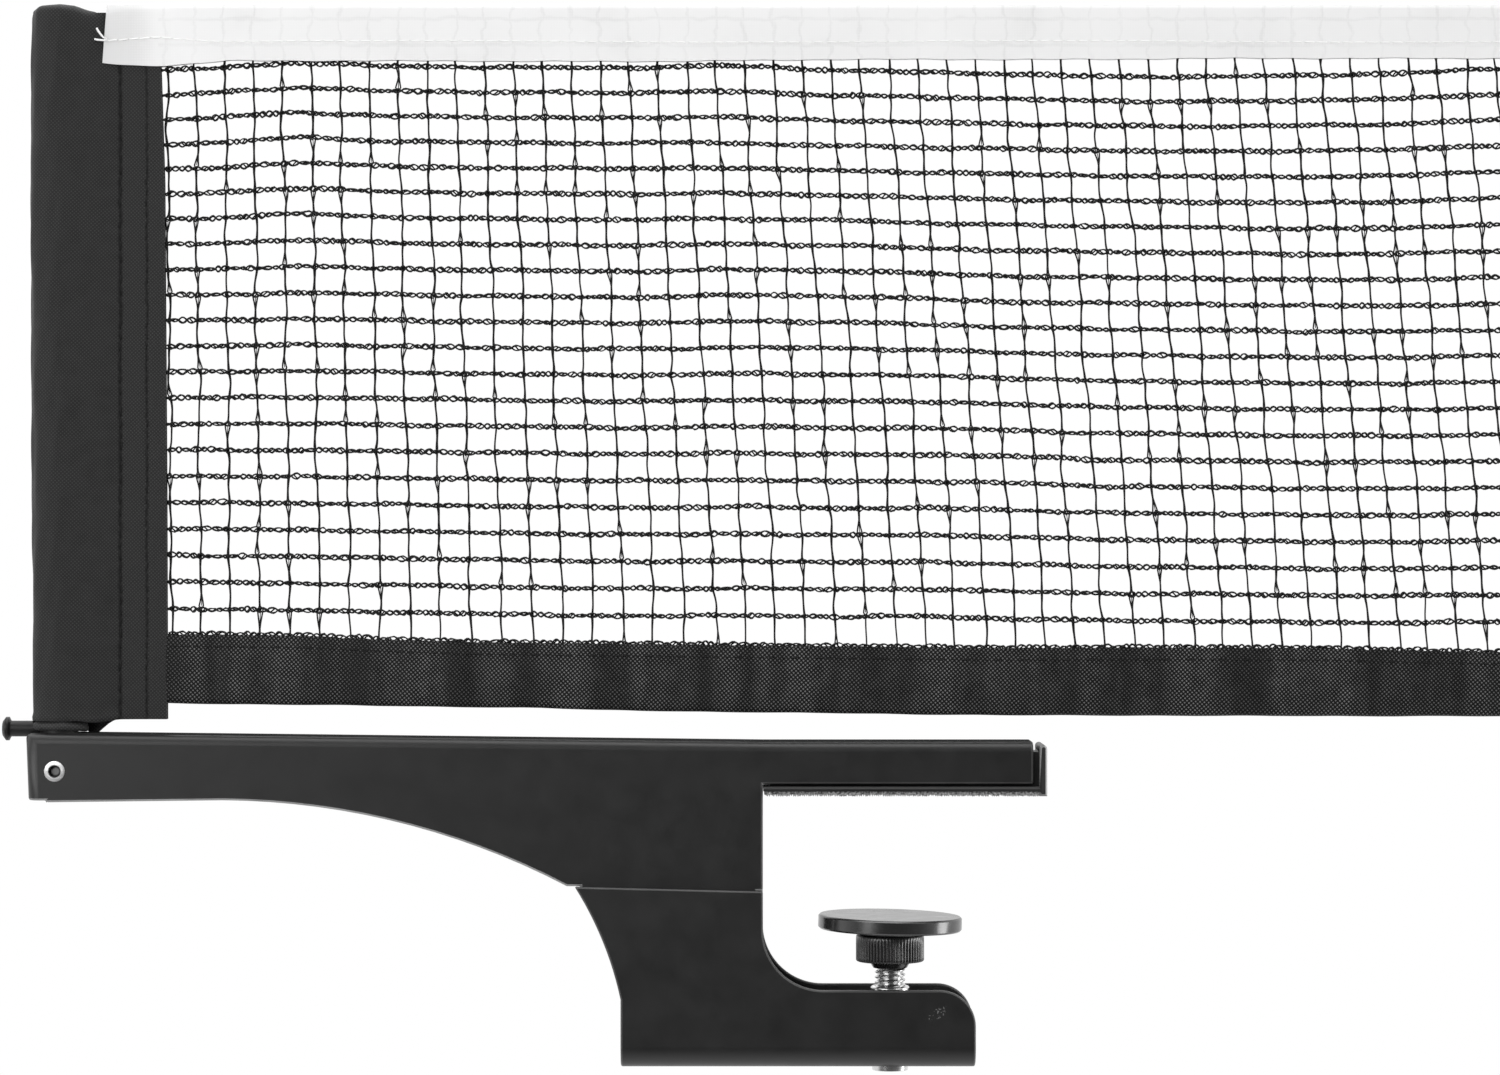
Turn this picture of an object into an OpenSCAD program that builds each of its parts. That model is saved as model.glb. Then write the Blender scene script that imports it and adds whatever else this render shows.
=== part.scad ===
// Table tennis net clamp: a two-channel steel clamp, its screw, the net post and the end of the net.
// Millimetres, +Z up. The origin is on the clamp screw's axis, in the face that rests on the table top.
// The arm reaches out along -X, the table comes in from +X, and the front of the clamp faces -Y.

/* [Steel sheet] */
// Thickness of the folded sheet
sheet_t = 1.2; // [1:0.1:1.5]
// Outer width of the upper channel
upper_w = 11.6; // [11:0.1:13]
// Outer bend radius along the top of the upper channel
upper_bend_r = 2; // [1.8:0.1:2.6]
// Outer bend radius round the outer end of the upper channel
end_bend_r = 2.4; // [2.2:0.1:3]
// Outer bend radius along the bottom of the lower channel
lower_bend_r = 4.4; // [3:0.1:5]

/* [Upper bracket] */
// From the screw axis to the outer end of the arm, at mid height
arm_reach = 167.6; // [167:0.2:172]
// Height of the jaw's top above the table face
jaw_top_z = 10.6; // [10:0.1:13]
// Rise of the arm's top from the throat to its outer end
arm_rise = 1.65; // [1:0.05:3]
// Backward lean of the arm's end, in degrees
end_lean = 2.2; // [0:0.1:3]
// Radius of the corner between the arm's top and its end
end_corner_r = 1.6; // [0.5:0.1:2]
// Depth of the arm's lower edge below the table face, where the sweep starts
arm_drop = 0.75; // [0.5:0.05:3]
// Extra depth of that edge at the outer end
arm_drop_end = 0.4; // [0:0.05:0.8]
// Length of the end flange, whose lower edge is cut a little higher
end_flange_l = 4.0; // [3:0.1:5]
// How much higher the end flange's lower edge is
end_flange_step = 0.35; // [0.1:0.05:0.5]
// From the screw axis to the start of the sweep into the leg
sweep_start = 130.5; // [125:0.5:135]
// Radius of the sweep from the arm into the leg
sweep_r = 146; // [140:1:155]
// From the screw axis to the throat's face
throat_depth = 24.8; // [22:0.2:28]
// From the screw axis to the jaw's free end
jaw_reach = 27.6; // [24:0.2:32]
// Depth of the hidden overlap inside the lower channel
overlap = 14; // [10:1:18]

/* [Lower bracket] */
// Depth of the lower channel's top edge below the table face, at the back
seam_z = 17.4; // [16:0.2:18]
// Fall of that edge from the back to the throat
seam_fall = 0.9; // [0:0.1:2]
// Depth of the lower jaw's top edge below the table face
lower_jaw_z = 37.45; // [37:0.05:40]
// Height of the lower jaw, from its top edge to its bottom
lower_jaw_h = 15.15; // [13:0.05:18]
// From the screw axis to the lower jaw's tip
lower_reach = 16.4; // [14:0.2:22]
// Radius of the lower jaw's tip corner
tip_r = 7; // [3:0.5:9]
// Radius of the throat's fillet
throat_r = 11.7; // [8:0.1:13]
// From the screw axis to the leg's back edge
leg_back = 52.35; // [51:0.05:54]
// Height of the leg's straight back edge
leg_back_h = 13.35; // [11:0.05:15]
// Radius of the leg's swept back edge
leg_sweep_r = 67; // [60:1:75]
// Angle at which the swept edge meets the straight one, in degrees
leg_break = 12; // [8:1:16]

/* [Jaw shoe and pad] */
// Thickness of the pad on the table face
pad_t = 1.05; // [0.8:0.05:2]
// Thickness of the shoe's sole
shoe_t = 0.87; // [0.8:0.01:1.5]
// Gap between the sole and the jaw's side plates
rim_gap = 0.45; // [0.2:0.05:0.8]
// Height of the shoe's core inside the jaw
core_h = 6.6; // [4:0.1:6.6]
// Thickness of the shoe's upturned lip
lip_t = 1.5; // [1:0.1:2]
// Gap between the jaw's end and the lip
lip_gap = 1.1; // [0.5:0.1:2]
// Height of the lip above the table face
lip_h = 10; // [8:0.1:10.5]
// Height of the lip's foot above the table face
lip_foot = 0.1; // [0.05:0.05:0.5]

/* [Clamp screw] */
// Opening between the pad and the pressure disc, at rest
jaw_open = 23.45; // [16:0.05:26]
// Diameter of the pressure disc
disc_d = 28; // [20:0.5:30]
// Thickness of the pressure disc
disc_t = 2.8; // [2.6:0.1:4]
// Depth and radius of the cove under the disc
cove_r = 0.8; // [0.5:0.1:1.5]
// Diameter of the ribbed hub
hub_d = 13.3; // [11:0.1:15]
// Height of the ribbed hub
hub_h = 5.3; // [4:0.1:8]
// Number of ribs round the hub
hub_ribs = 60; // [36:2:80]
// Depth of the grooves between the ribs
rib_depth = 0.3; // [0.1:0.05:0.4]
// Height of the hub's conical foot
foot_h = 1.25; // [0.8:0.05:2]
// Diameter of the clamp screw's thread
stud_d = 6; // [5:0.5:6]
// Length of thread below the hub
stud_l = 19.5; // [15:0.5:20]
// Diameter of the pivot that carries the disc
pivot_d = 5; // [4:0.1:5]
// Thickness of the snap ring on the pivot
ring_t = 0.5; // [0.4:0.1:0.6]

/* [Threaded bush] */
// Diameter of the bush between the lower jaw's side plates
bush_d = 7.6; // [7.4:0.1:9]
// Diameter of its riveted foot
bush_foot_d = 7; // [6.9:0.05:7.2]
// How far the foot stands below the lower bracket
bush_foot_out = 1; // [0.5:0.1:2]
// How far the bush stands above the lower jaw's top edge
bush_rise = 0.25; // [0:0.05:0.5]

/* [Post] */
// Diameter of the net post
post_d = 7.5; // [7:0.1:7.6]
// Wall of the post tube
post_wall = 1.2; // [0.8:0.1:1.5]
// Wall of the guide block between the post and the arm's end
socket_wall = 0.56; // [0.4:0.02:1]
// How far the guide block runs on behind the post
socket_back = 3.5; // [2:0.1:6]
// Height of the plug's head on top of the post
cap_h = 1.1; // [0.8:0.1:2]
// Length of the plug inside the post
cap_plug_l = 6; // [4:0.5:12]
// Diameter of the cord peg's stem
peg_d = 3.1; // [2.6:0.1:3.2]
// Diameter of the cord peg's head
peg_head_d = 4.6; // [4:0.1:6]
// From the post's axis to the outer end of the peg
peg_reach = 10.9; // [10:0.1:14]
// Thickness of the peg's head
peg_head_t = 1.2; // [0.8:0.1:2]
// Diameter of the set screw
grub_d = 4; // [3:0.5:4]
// Size across the flats of its hex socket
grub_hex = 2; // [1.5:0.1:2.2]
// Height of the set screw above the table face
grub_z = 4.85; // [4:0.05:6]

/* [Net] */
// Height of the net above the table face, the rule's six inches
net_h = 152.5; // [145:0.5:155]
// From the screw axis to the end of the net beyond the screw
net_reach = 124; // [60:1:200]
// Pitch of the mesh's columns
col_pitch = 5.65; // [5:0.05:8]
// Pitch of the mesh's rows at the post
row_pitch = 5.0; // [4:0.1:8]
// Width of a mesh row
row_w = 1.0; // [0.6:0.1:1.4]
// Width of a mesh column
col_w = 0.5; // [0.4:0.1:0.8]
// Height of the white top tape
tape_h = 12; // [10:0.5:15]
// Height of the hem
hem_h = 12.4; // [8:0.1:16]
// Height of the hem's upper edge above the table face, at the post
hem_top_z = 30.4; // [26:0.1:36]
// How much lower the hem lies at the far end
hem_droop = 3; // [0:0.1:4]
// Thickness of the sleeve's cloth
cloth_t = 0.5; // [0.3:0.05:0.7]
// Thickness of the top tape's cloth
tape_t = 0.4; // [0.3:0.05:0.5]
// Gap between the post and the sleeve
sleeve_gap = 0.3; // [0.3:0.05:0.8]
// From the post's axis to the sleeve's inner seam
seam_reach = 12; // [10:0.1:14]
// From the post's axis to the sleeve's sewn edge
flange_reach = 21; // [18:0.1:26]
// From the post's axis to the start of the top tape
tape_reach = 8.7; // [7:0.1:10]
// Height of the sleeve's lower edge above the table face
sleeve_z = 14.8; // [14.8:0.1:17]

/* [Clearances] */
// Radial clearance of a thread or a turning fit
run_fit = 0.04; // [0.02:0.01:0.08]
// Clearance of a loose insert in a channel
slip_fit = 0.05; // [0.02:0.01:0.1]
// Clearance round the post and the peg in the arm's top
web_gap = 0.35; // [0.2:0.05:0.4]
// Clearance between the disc's parts along the screw
end_gap = 0.1; // [0.05:0.05:0.2]

/* [Hidden] */
$fn = 64;
black = [0.17, 0.17, 0.18];
satin = [0.12, 0.12, 0.13];
steel = [0.72, 0.73, 0.75];
white = [0.93, 0.93, 0.94];
cloth = [0.15, 0.15, 0.16];
felt = [0.45, 0.45, 0.46];
big = 200;
far = 400;

lower_w = upper_w + 2 * sheet_t;
inner_w = upper_w - 2 * sheet_t;
jaw_rim_z = pad_t + shoe_t + rim_gap;
lower_bottom_z = lower_jaw_z + lower_jaw_h;
leg_break_z = lower_bottom_z - leg_back_h;
arm_slope = atan(arm_rise / (arm_reach - throat_depth));
end_mid_z = (jaw_top_z + arm_rise) / 2;
arm_end_top_z = jaw_top_z + arm_rise;
arm_end_top_x = -arm_reach - (arm_end_top_z - end_mid_z) * tan(end_lean);
tongue_inset = 1.2;

// The leg's swept edge is an arc about this centre
leg_cx = -leg_back - leg_sweep_r * cos(leg_break);
leg_cz = -leg_break_z - leg_sweep_r * sin(leg_break);
function leg_edge_x(z) = leg_cx + sqrt(pow(leg_sweep_r, 2) - pow(z - leg_cz, 2));
seam_back_x = leg_edge_x(-seam_z);

// Heights along the clamp screw
disc_top = -jaw_open;
disc_bottom = disc_top - disc_t;
hub_top = disc_bottom - cove_r - end_gap;
hub_bottom = hub_top - hub_h;
foot_bottom = hub_bottom - foot_h;
pivot_roof = disc_top - (disc_t + cove_r) * 0.28;
ring_z = disc_bottom + ring_t;
ring_seat_r = pivot_d / 2 - 0.4;
ring_r = pivot_d / 2 + 0.5;
bush_top = -lower_jaw_z + bush_rise;

// The post and its peg
post_reach = arm_reach - sheet_t - slip_fit - socket_wall - run_fit - post_d / 2;
peg_z = arm_end_top_z + 0.65;
post_bottom = -arm_drop + 0.45;
tape_top_z = net_h + 1.6;
sleeve_top = tape_top_z - tape_t;
cap_top = sleeve_top - cloth_t - sleeve_gap;
post_top = cap_top - cap_h;
socket_bottom = 0.4;

// The net lies in two layers that touch: its rows in front, its columns behind
row_t = 0.5;
col_t = 0.34;
net_half = 0.42;
net_gap = 0.03;
slot_half = net_half + net_gap;
layer_y = -net_half + row_t;
flange_half = slot_half + cloth_t;
net_start = -post_reach + flange_reach;
first_col = net_start + 1.1;
cols = floor((net_reach - first_col) / col_pitch) + 1;
last_col = first_col + (cols - 1) * col_pitch;
top_row_z = tape_top_z - 2.7;
rows = floor((top_row_z - hem_top_z) / row_pitch);
rail_x = -post_reach + seam_reach + 0.5;
hem_grip = 3;
function along(x) = (x - net_start) / (net_reach - net_start);
function hem_z(x) = hem_top_z - hem_droop * along(x);
// Rows spread apart a little towards the far end, as the hem drops
function row_z(i, x) = top_row_z - i * (row_pitch + hem_droop * 0.9 * along(x) / rows);

// ---- helpers ----

// Extrudes an outline drawn in X and Z across the clamp's depth, centred
module across(w) {
    rotate([90, 0, 0]) linear_extrude(w, center = true) children();
}

// Extrudes an outline drawn in X and Z between two depths
module between(y0, y1) {
    translate([0, y1, 0]) rotate([90, 0, 0]) linear_extrude(y1 - y0) children();
}

// Extrudes an outline drawn in Y and Z along X
module along_x(x0, x1) {
    translate([x0, 0, 0]) rotate([90, 0, 90]) linear_extrude(x1 - x0) children();
}

// What rounds the corner at the origin off a square that fills the first quadrant
module corner_cut(r) {
    difference() {
        translate([-1, -1]) square(r + 1);
        translate([r, r]) circle(r);
    }
}

// A channel's section, filled: a web at y = 0 with round corners, and its legs running up
module channel_section(w, r) {
    difference() {
        translate([-w / 2, 0]) square([w, big]);
        for (m = [0, 1]) mirror([m, 0]) translate([-w / 2, 0]) corner_cut(r);
    }
}

// A straight strand of the net's mesh, w wide, lying between two depths
module strand(x0, z0, x1, z1, w, y0, t, upright = false) {
    dx = upright ? w / 2 : 0;
    dz = upright ? 0 : w / 2;
    between(y0, y0 + t)
        polygon([[x0 - dx, z0 - dz], [x1 - dx, z1 - dz], [x1 + dx, z1 + dz], [x0 + dx, z0 + dz]]);
}

// ---- upper bracket ----

// The folded form, filled and inset by the sheet: round bends along the top and round the leaning end.
// The sloping arm and the level jaw overlap round the throat.
module arm_form(inset) {
    w = upper_w - 2 * inset;
    intersection() {
        top_fold(w, inset, arm_slope);
        translate([-arm_reach + inset, 0, end_mid_z]) rotate([0, -end_lean, 0])
            translate([0, 0, -big]) linear_extrude(2 * big) rotate([0, 0, -90])
                channel_section(w, end_bend_r - inset);
    }
    intersection() {
        top_fold(w, inset, 0);
        translate([-throat_depth - 30, -big, -big]) cube(2 * big);
    }
}

module top_fold(w, inset, slope) {
    translate([-throat_depth, 0, jaw_top_z - inset]) rotate([0, slope, 0]) mirror([0, 0, 1])
        along_x(-big, big) channel_section(w, upper_bend_r - inset);
}

// The side plates' outline, with the tongue that runs on inside the lower channel
module upper_side() {
    end_x = -arm_reach - 1;
    edge_z = -arm_drop - arm_drop_end;
    tongue_z = -seam_z - overlap;
    difference() {
        polygon([
            [end_x, edge_z + end_flange_step],
            [-arm_reach + end_flange_l, edge_z + end_flange_step],
            [-arm_reach + end_flange_l, edge_z],
            [-sweep_start, -arm_drop],
            [-sweep_start, -seam_z],
            [seam_back_x + tongue_inset, -seam_z],
            [leg_edge_x(tongue_z) + tongue_inset, tongue_z],
            [-throat_depth - tongue_inset, tongue_z],
            [-throat_depth - tongue_inset, -seam_z - seam_fall],
            [-throat_depth, -seam_z - seam_fall],
            [-throat_depth, jaw_rim_z],
            [jaw_reach, jaw_rim_z],
            [jaw_reach, jaw_top_z + 5],
            [end_x, jaw_top_z + 5]
        ]);
        intersection() {
            translate([-sweep_start, -arm_drop - sweep_r]) circle(sweep_r);
            translate([-far, -seam_z - 0.01]) square([2 * far, far]);
        }
        translate([arm_end_top_x, arm_end_top_z]) mirror([0, 1]) corner_cut(end_corner_r);
    }
}

// The slot in the arm's top and end that the cord peg drops into
module peg_slot() {
    r = peg_d / 2 + web_gap;
    translate([-post_reach - 30, -r, peg_z - r]) cube([30, 2 * r, 20]);
}

module upper_bracket() {
    color(black) difference() {
        intersection() {
            across(2 * upper_w) upper_side();
            arm_form(0);
        }
        arm_form(sheet_t);
        translate([-post_reach, 0, grub_z]) cylinder(d = post_d + 2 * web_gap + 0.3, h = 20);
        peg_slot();
        translate([-post_reach, -inner_w / 2 + 1, grub_z]) rotate([90, 0, 0])
            cylinder(r = grub_d / 2 + run_fit, h = sheet_t + 5);
    }
}

// ---- lower bracket ----

// The side plates' outline: the leg with its swept back edge, the filleted throat and the jaw
module lower_side() {
    difference() {
        polygon([
            [seam_back_x, -seam_z], [-throat_depth, -seam_z - seam_fall],
            [-throat_depth, -lower_jaw_z + throat_r], [-throat_depth + throat_r, -lower_jaw_z],
            [lower_reach, -lower_jaw_z], [lower_reach, -lower_bottom_z],
            [-leg_back, -lower_bottom_z], [-leg_back, -leg_break_z], [leg_edge_x(-leg_break_z), -leg_break_z]
        ]);
        translate([-throat_depth + throat_r, -lower_jaw_z + throat_r]) circle(throat_r);
        intersection() {
            translate([leg_cx, leg_cz]) circle(leg_sweep_r);
            translate([-far, -leg_break_z]) square([far, far]);
        }
        translate([lower_reach, -lower_jaw_z]) rotate(180) corner_cut(tip_r);
    }
}

module lower_bracket() {
    color(black) difference() {
        intersection() {
            across(2 * lower_w) lower_side();
            translate([0, 0, -lower_bottom_z]) along_x(-far, far) channel_section(lower_w, lower_bend_r);
        }
        translate([0, 0, -lower_bottom_z + sheet_t])
            along_x(-far, far) channel_section(upper_w, lower_bend_r - sheet_t);
        translate([0, 0, -lower_bottom_z - 1]) cylinder(d = bush_foot_d, h = sheet_t + 2);
    }
}

// ---- jaw shoe and pad ----

lip_x0 = jaw_reach + lip_gap;
lip_x1 = lip_x0 + lip_t;
pad_x0 = -throat_depth + slip_fit;

// An L whose lip is round on top and reaches down past the pad's end
module shoe_side() {
    translate([pad_x0, pad_t]) square([lip_x0 + lip_t / 2 - pad_x0, shoe_t]);
    translate([lip_x0, lip_foot]) square([lip_t, lip_h - lip_foot - lip_t / 2]);
    translate([lip_x0 + lip_t / 2, lip_h - lip_t / 2]) circle(lip_t / 2);
}

// The core fills the jaw's inside and carries on to the lip
module jaw_shoe() {
    core_x0 = -throat_depth + 1.5;
    color(satin) {
        across(lower_w) shoe_side();
        translate([core_x0, -inner_w / 2, pad_t])
            cube([lip_x0 + lip_t / 2 - core_x0, inner_w, shoe_t + core_h]);
    }
}

module jaw_pad() {
    edge = 0.2;
    color(felt) translate([pad_x0 + edge, -lower_w / 2 + edge, 0])
        cube([lip_x0 - slip_fit - pad_x0 - edge, lower_w - 2 * edge, pad_t]);
}

// ---- clamp screw ----

module screw_bush() {
    chamfer = 0.3;
    foot_z = -lower_bottom_z + sheet_t;
    color(steel) difference() {
        union() {
            translate([0, 0, foot_z]) cylinder(d = bush_d, h = bush_top - chamfer - foot_z);
            translate([0, 0, bush_top - chamfer])
                cylinder(d1 = bush_d, d2 = bush_d - 2 * chamfer, h = chamfer);
            translate([0, 0, -lower_bottom_z - bush_foot_out])
                cylinder(d = bush_foot_d, h = sheet_t + bush_foot_out);
        }
        translate([0, 0, -lower_bottom_z - 5]) cylinder(r = stud_d / 2 + run_fit, h = big);
    }
}

// A turned disc with a cove that meets the hub, a blind pivot bore and a groove for the snap ring
module pressure_disc() {
    edge = 0.35;
    r = disc_d / 2;
    neck = hub_d / 2;
    color(satin) difference() {
        union() {
            translate([0, 0, disc_top - edge]) cylinder(r1 = r, r2 = r - edge, h = edge);
            translate([0, 0, disc_bottom + edge]) cylinder(r = r, h = disc_t - 2 * edge);
            translate([0, 0, disc_bottom]) cylinder(r1 = r - edge, r2 = r, h = edge);
            rotate_extrude() difference() {
                translate([0, disc_bottom - cove_r]) square([neck + cove_r, cove_r + edge]);
                translate([neck + cove_r, disc_bottom - cove_r]) circle(cove_r);
            }
        }
        translate([0, 0, disc_bottom - cove_r - 1])
            cylinder(r = pivot_d / 2 + run_fit, h = pivot_roof - disc_bottom + cove_r + 1);
        translate([0, 0, ring_z - slip_fit])
            cylinder(r = ring_r + slip_fit, h = ring_t + 2 * slip_fit);
    }
}

module disc_snap_ring() {
    color(steel) difference() {
        translate([0, 0, ring_z]) cylinder(r = ring_r, h = ring_t);
        translate([0, 0, ring_z - 1]) cylinder(r = ring_seat_r + slip_fit, h = ring_t + 2);
        translate([0, -0.8, ring_z - 1]) cube([10, 1.6, ring_t + 2]);
    }
}

module clamp_stud() {
    chamfer = 0.5;
    r = stud_d / 2;
    bottom = foot_bottom - stud_l;
    color(steel) difference() {
        union() {
            translate([0, 0, bottom + chamfer]) cylinder(r = r, h = hub_top - bottom - chamfer);
            translate([0, 0, bottom]) cylinder(r1 = r - chamfer, r2 = r, h = chamfer);
            translate([0, 0, hub_top]) cylinder(d = pivot_d, h = pivot_roof - end_gap - hub_top);
        }
        difference() {
            translate([0, 0, ring_z - slip_fit]) cylinder(r = r + 1, h = ring_t + 2 * slip_fit);
            translate([0, 0, ring_z - 1]) cylinder(r = ring_seat_r, h = ring_t + 2);
        }
    }
}

// The hub's section: straight ribs cut round its rim
module ribbed_outline() {
    step = 360 / hub_ribs;
    polygon([
        for (i = [0 : hub_ribs - 1]) for (k = [[0, 0], [0.35, 0], [0.5, 1], [0.85, 1]])
            let (a = (i + k[0]) * step, r = hub_d / 2 - k[1] * rib_depth) [r * cos(a), r * sin(a)]
    ]);
}

module thumb_hub() {
    shoulder = 0.5;
    color(satin) difference() {
        union() {
            translate([0, 0, hub_bottom]) linear_extrude(hub_h - shoulder) ribbed_outline();
            translate([0, 0, hub_top - shoulder]) cylinder(d = hub_d - 2 * rib_depth, h = shoulder);
            translate([0, 0, foot_bottom]) cylinder(r1 = stud_d / 2 + 0.3, r2 = stud_d / 2 + 0.9, h = foot_h);
        }
        translate([0, 0, foot_bottom - 1]) cylinder(d = stud_d, h = hub_h + foot_h + 2);
    }
}

// ---- post ----

module post_socket() {
    inset = sheet_t + slip_fit;
    w = upper_w - 2 * inset;
    back = -post_reach + post_d / 2 + socket_back;
    color(satin) difference() {
        intersection() {
            translate([-far, -w, socket_bottom]) cube([far + back, 2 * w, big]);
            arm_form(inset);
        }
        translate([-post_reach, 0, post_bottom]) cylinder(r = post_d / 2 + run_fit, h = big);
        translate([-post_reach, 0, grub_z]) rotate([90, 0, 0]) cylinder(r = grub_d / 2 + run_fit, h = 20);
    }
}

module post() {
    color(satin) difference() {
        translate([-post_reach, 0, post_bottom]) cylinder(d = post_d, h = post_top - post_bottom);
        translate([-post_reach, 0, post_bottom - 1]) cylinder(d = post_d - 2 * post_wall, h = far);
        translate([-post_reach, 0, peg_z]) rotate([0, -90, 0]) cylinder(d = peg_d, h = 10);
    }
}

module post_cap() {
    round = 0.5;
    r = post_d / 2;
    color(satin) translate([-post_reach, 0, 0]) {
        translate([0, 0, post_top - cap_plug_l]) cylinder(r = r - post_wall, h = cap_plug_l);
        translate([0, 0, post_top]) cylinder(r = r, h = cap_h - round);
        translate([0, 0, cap_top - round]) cylinder(r1 = r, r2 = r - round, h = round);
    }
}

// A turned peg with a waisted neck behind its round head
module cord_peg() {
    r = peg_d / 2;
    head_r = peg_head_d / 2;
    inner = post_d / 2 - post_wall - 0.3;
    color(satin) translate([-post_reach, 0, peg_z]) rotate([0, -90, 0]) {
        translate([0, 0, inner]) cylinder(r = r, h = peg_reach - peg_head_t - inner);
        translate([0, 0, peg_reach - peg_head_t - 0.4]) cylinder(r1 = r, r2 = head_r - 0.1, h = 0.4);
        translate([0, 0, peg_reach - peg_head_t]) cylinder(r = head_r, h = peg_head_t - 0.6);
        translate([0, 0, peg_reach - 0.6]) cylinder(r1 = head_r, r2 = head_r - 0.8, h = 0.6);
    }
}

module set_screw() {
    recess = 0.05;
    tip = post_d / 2 + run_fit;
    y0 = -upper_w / 2 + recess;
    color(steel) translate([-post_reach, y0, grub_z]) rotate([-90, 0, 0]) difference() {
        cylinder(d = grub_d, h = -tip - y0);
        translate([0, 0, -1]) cylinder(d = grub_hex / cos(30), h = 1 + (-tip - y0) * 0.6, $fn = 6);
    }
}

// ---- net ----

// A plan outline that wraps a round of radius r at the post and narrows to a flange of half width h
module wrap_plan(r, h, reach) {
    a = acos((r - h) / seam_reach);
    translate([-post_reach, 0]) {
        circle(r);
        translate([seam_reach, 0]) circle(h);
        polygon([
            [r * cos(a), r * sin(a)], [r * cos(a), -r * sin(a)],
            [seam_reach + h * cos(a), -h * sin(a)], [seam_reach + h * cos(a), h * sin(a)]
        ]);
        translate([seam_reach, -h]) square([reach - seam_reach, 2 * h]);
    }
}

sleeve_in_r = post_d / 2 + sleeve_gap;
sleeve_out_r = sleeve_in_r + cloth_t;

module net_sleeve() {
    color(cloth) {
        translate([0, 0, sleeve_z]) linear_extrude(sleeve_top - cloth_t - sleeve_z) difference() {
            wrap_plan(sleeve_out_r, flange_half, flange_reach);
            wrap_plan(sleeve_in_r, slot_half, flange_reach + 1);
        }
        translate([0, 0, sleeve_top - cloth_t]) linear_extrude(cloth_t)
            wrap_plan(sleeve_out_r, flange_half, flange_reach);
    }
}

module net_rows() {
    last = rows - 1;
    color(cloth) {
        for (i = [0 : last])
            strand(rail_x, row_z(i, rail_x), net_reach, row_z(i, net_reach), row_w, -net_half, row_t);
        for (x = [rail_x, last_col])
            strand(x, row_z(last, x), x, top_row_z, col_w, -net_half, row_t, true);
    }
}

module net_columns() {
    x0 = first_col - col_w / 2;
    x1 = last_col + col_w / 2;
    color(cloth) {
        for (j = [0 : cols - 1]) let (x = first_col + j * col_pitch)
            strand(x, hem_z(x) - hem_grip, x, top_row_z, col_w, layer_y, col_t, true);
        strand(x0, top_row_z, x1, top_row_z, col_w, layer_y, col_t);
        strand(x0, hem_z(x0) - hem_grip, x1, hem_z(x1) - hem_grip, col_w, layer_y, col_t);
    }
}

// A tape folded over the sleeve's flange and the net's top edge
module net_top_tape() {
    z0 = tape_top_z - tape_h;
    color(white) translate([0, 0, z0]) difference() {
        linear_extrude(tape_h) {
            intersection() {
                wrap_plan(sleeve_out_r + tape_t, flange_half + tape_t, flange_reach + tape_t);
                translate([-post_reach + tape_reach, -big]) square(2 * big);
            }
            translate([net_start, -slot_half - tape_t])
                square([net_reach - net_start, 2 * (slot_half + tape_t)]);
        }
        translate([0, 0, -1]) linear_extrude(tape_h - tape_t + 1) {
            wrap_plan(sleeve_out_r, flange_half, flange_reach);
            translate([net_start - 1, -slot_half]) square([net_reach - net_start + 2, 2 * slot_half]);
        }
    }
}

// A hem folded up round the net's lower edge
module net_hem() {
    mouth = 6;
    half = slot_half + cloth_t;
    color(cloth) difference() {
        between(-half, half) polygon([
            [net_start, hem_z(net_start)], [net_reach, hem_z(net_reach)],
            [net_reach, hem_z(net_reach) - hem_h], [net_start, hem_z(net_start) - hem_h]
        ]);
        between(-slot_half, slot_half) polygon([
            [net_start - 1, hem_z(net_start) + 1], [net_reach + 1, hem_z(net_reach) + 1],
            [net_reach + 1, hem_z(net_reach) - mouth], [net_start - 1, hem_z(net_start) - mouth]
        ]);
    }
}

upper_bracket();
lower_bracket();
jaw_shoe();
jaw_pad();
post_socket();
screw_bush();
pressure_disc();
disc_snap_ring();
clamp_stud();
thumb_hub();
post();
post_cap();
cord_peg();
set_screw();
net_sleeve();
net_rows();
net_columns();
net_top_tape();
net_hem();
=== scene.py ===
"""Looks for a table tennis net clamp. Lengths in this file are in mm until a mesh is made."""
import math

import bmesh
import bpy
import numpy as np
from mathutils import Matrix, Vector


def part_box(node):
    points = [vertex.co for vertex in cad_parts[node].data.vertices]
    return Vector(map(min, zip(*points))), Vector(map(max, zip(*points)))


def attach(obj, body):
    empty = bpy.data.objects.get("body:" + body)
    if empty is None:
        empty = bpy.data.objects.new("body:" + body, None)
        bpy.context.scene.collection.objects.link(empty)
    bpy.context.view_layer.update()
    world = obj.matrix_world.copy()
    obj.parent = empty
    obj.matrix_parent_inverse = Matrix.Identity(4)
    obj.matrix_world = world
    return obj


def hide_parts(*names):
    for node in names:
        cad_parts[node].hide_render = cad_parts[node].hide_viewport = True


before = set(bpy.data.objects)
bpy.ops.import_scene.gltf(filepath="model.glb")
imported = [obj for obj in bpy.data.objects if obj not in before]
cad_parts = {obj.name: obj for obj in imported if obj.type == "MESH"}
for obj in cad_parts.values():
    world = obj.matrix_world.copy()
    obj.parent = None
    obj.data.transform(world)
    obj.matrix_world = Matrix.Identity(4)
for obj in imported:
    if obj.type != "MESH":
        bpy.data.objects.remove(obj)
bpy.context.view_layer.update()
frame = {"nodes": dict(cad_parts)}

MM = 0.001
NODES = frame["nodes"]

POST_X = -162.0                     # the post's axis
SET_SCREW_Z = 4.85                  # the set screw's axis
NET_START, NET_END = -141.0, 123.9  # the visible stretch of net, from the sleeve to the picture's edge
LAST_STITCH = 122.5                 # no stitch of the tape or the hem starts beyond this

# ---- camera ----

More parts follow.
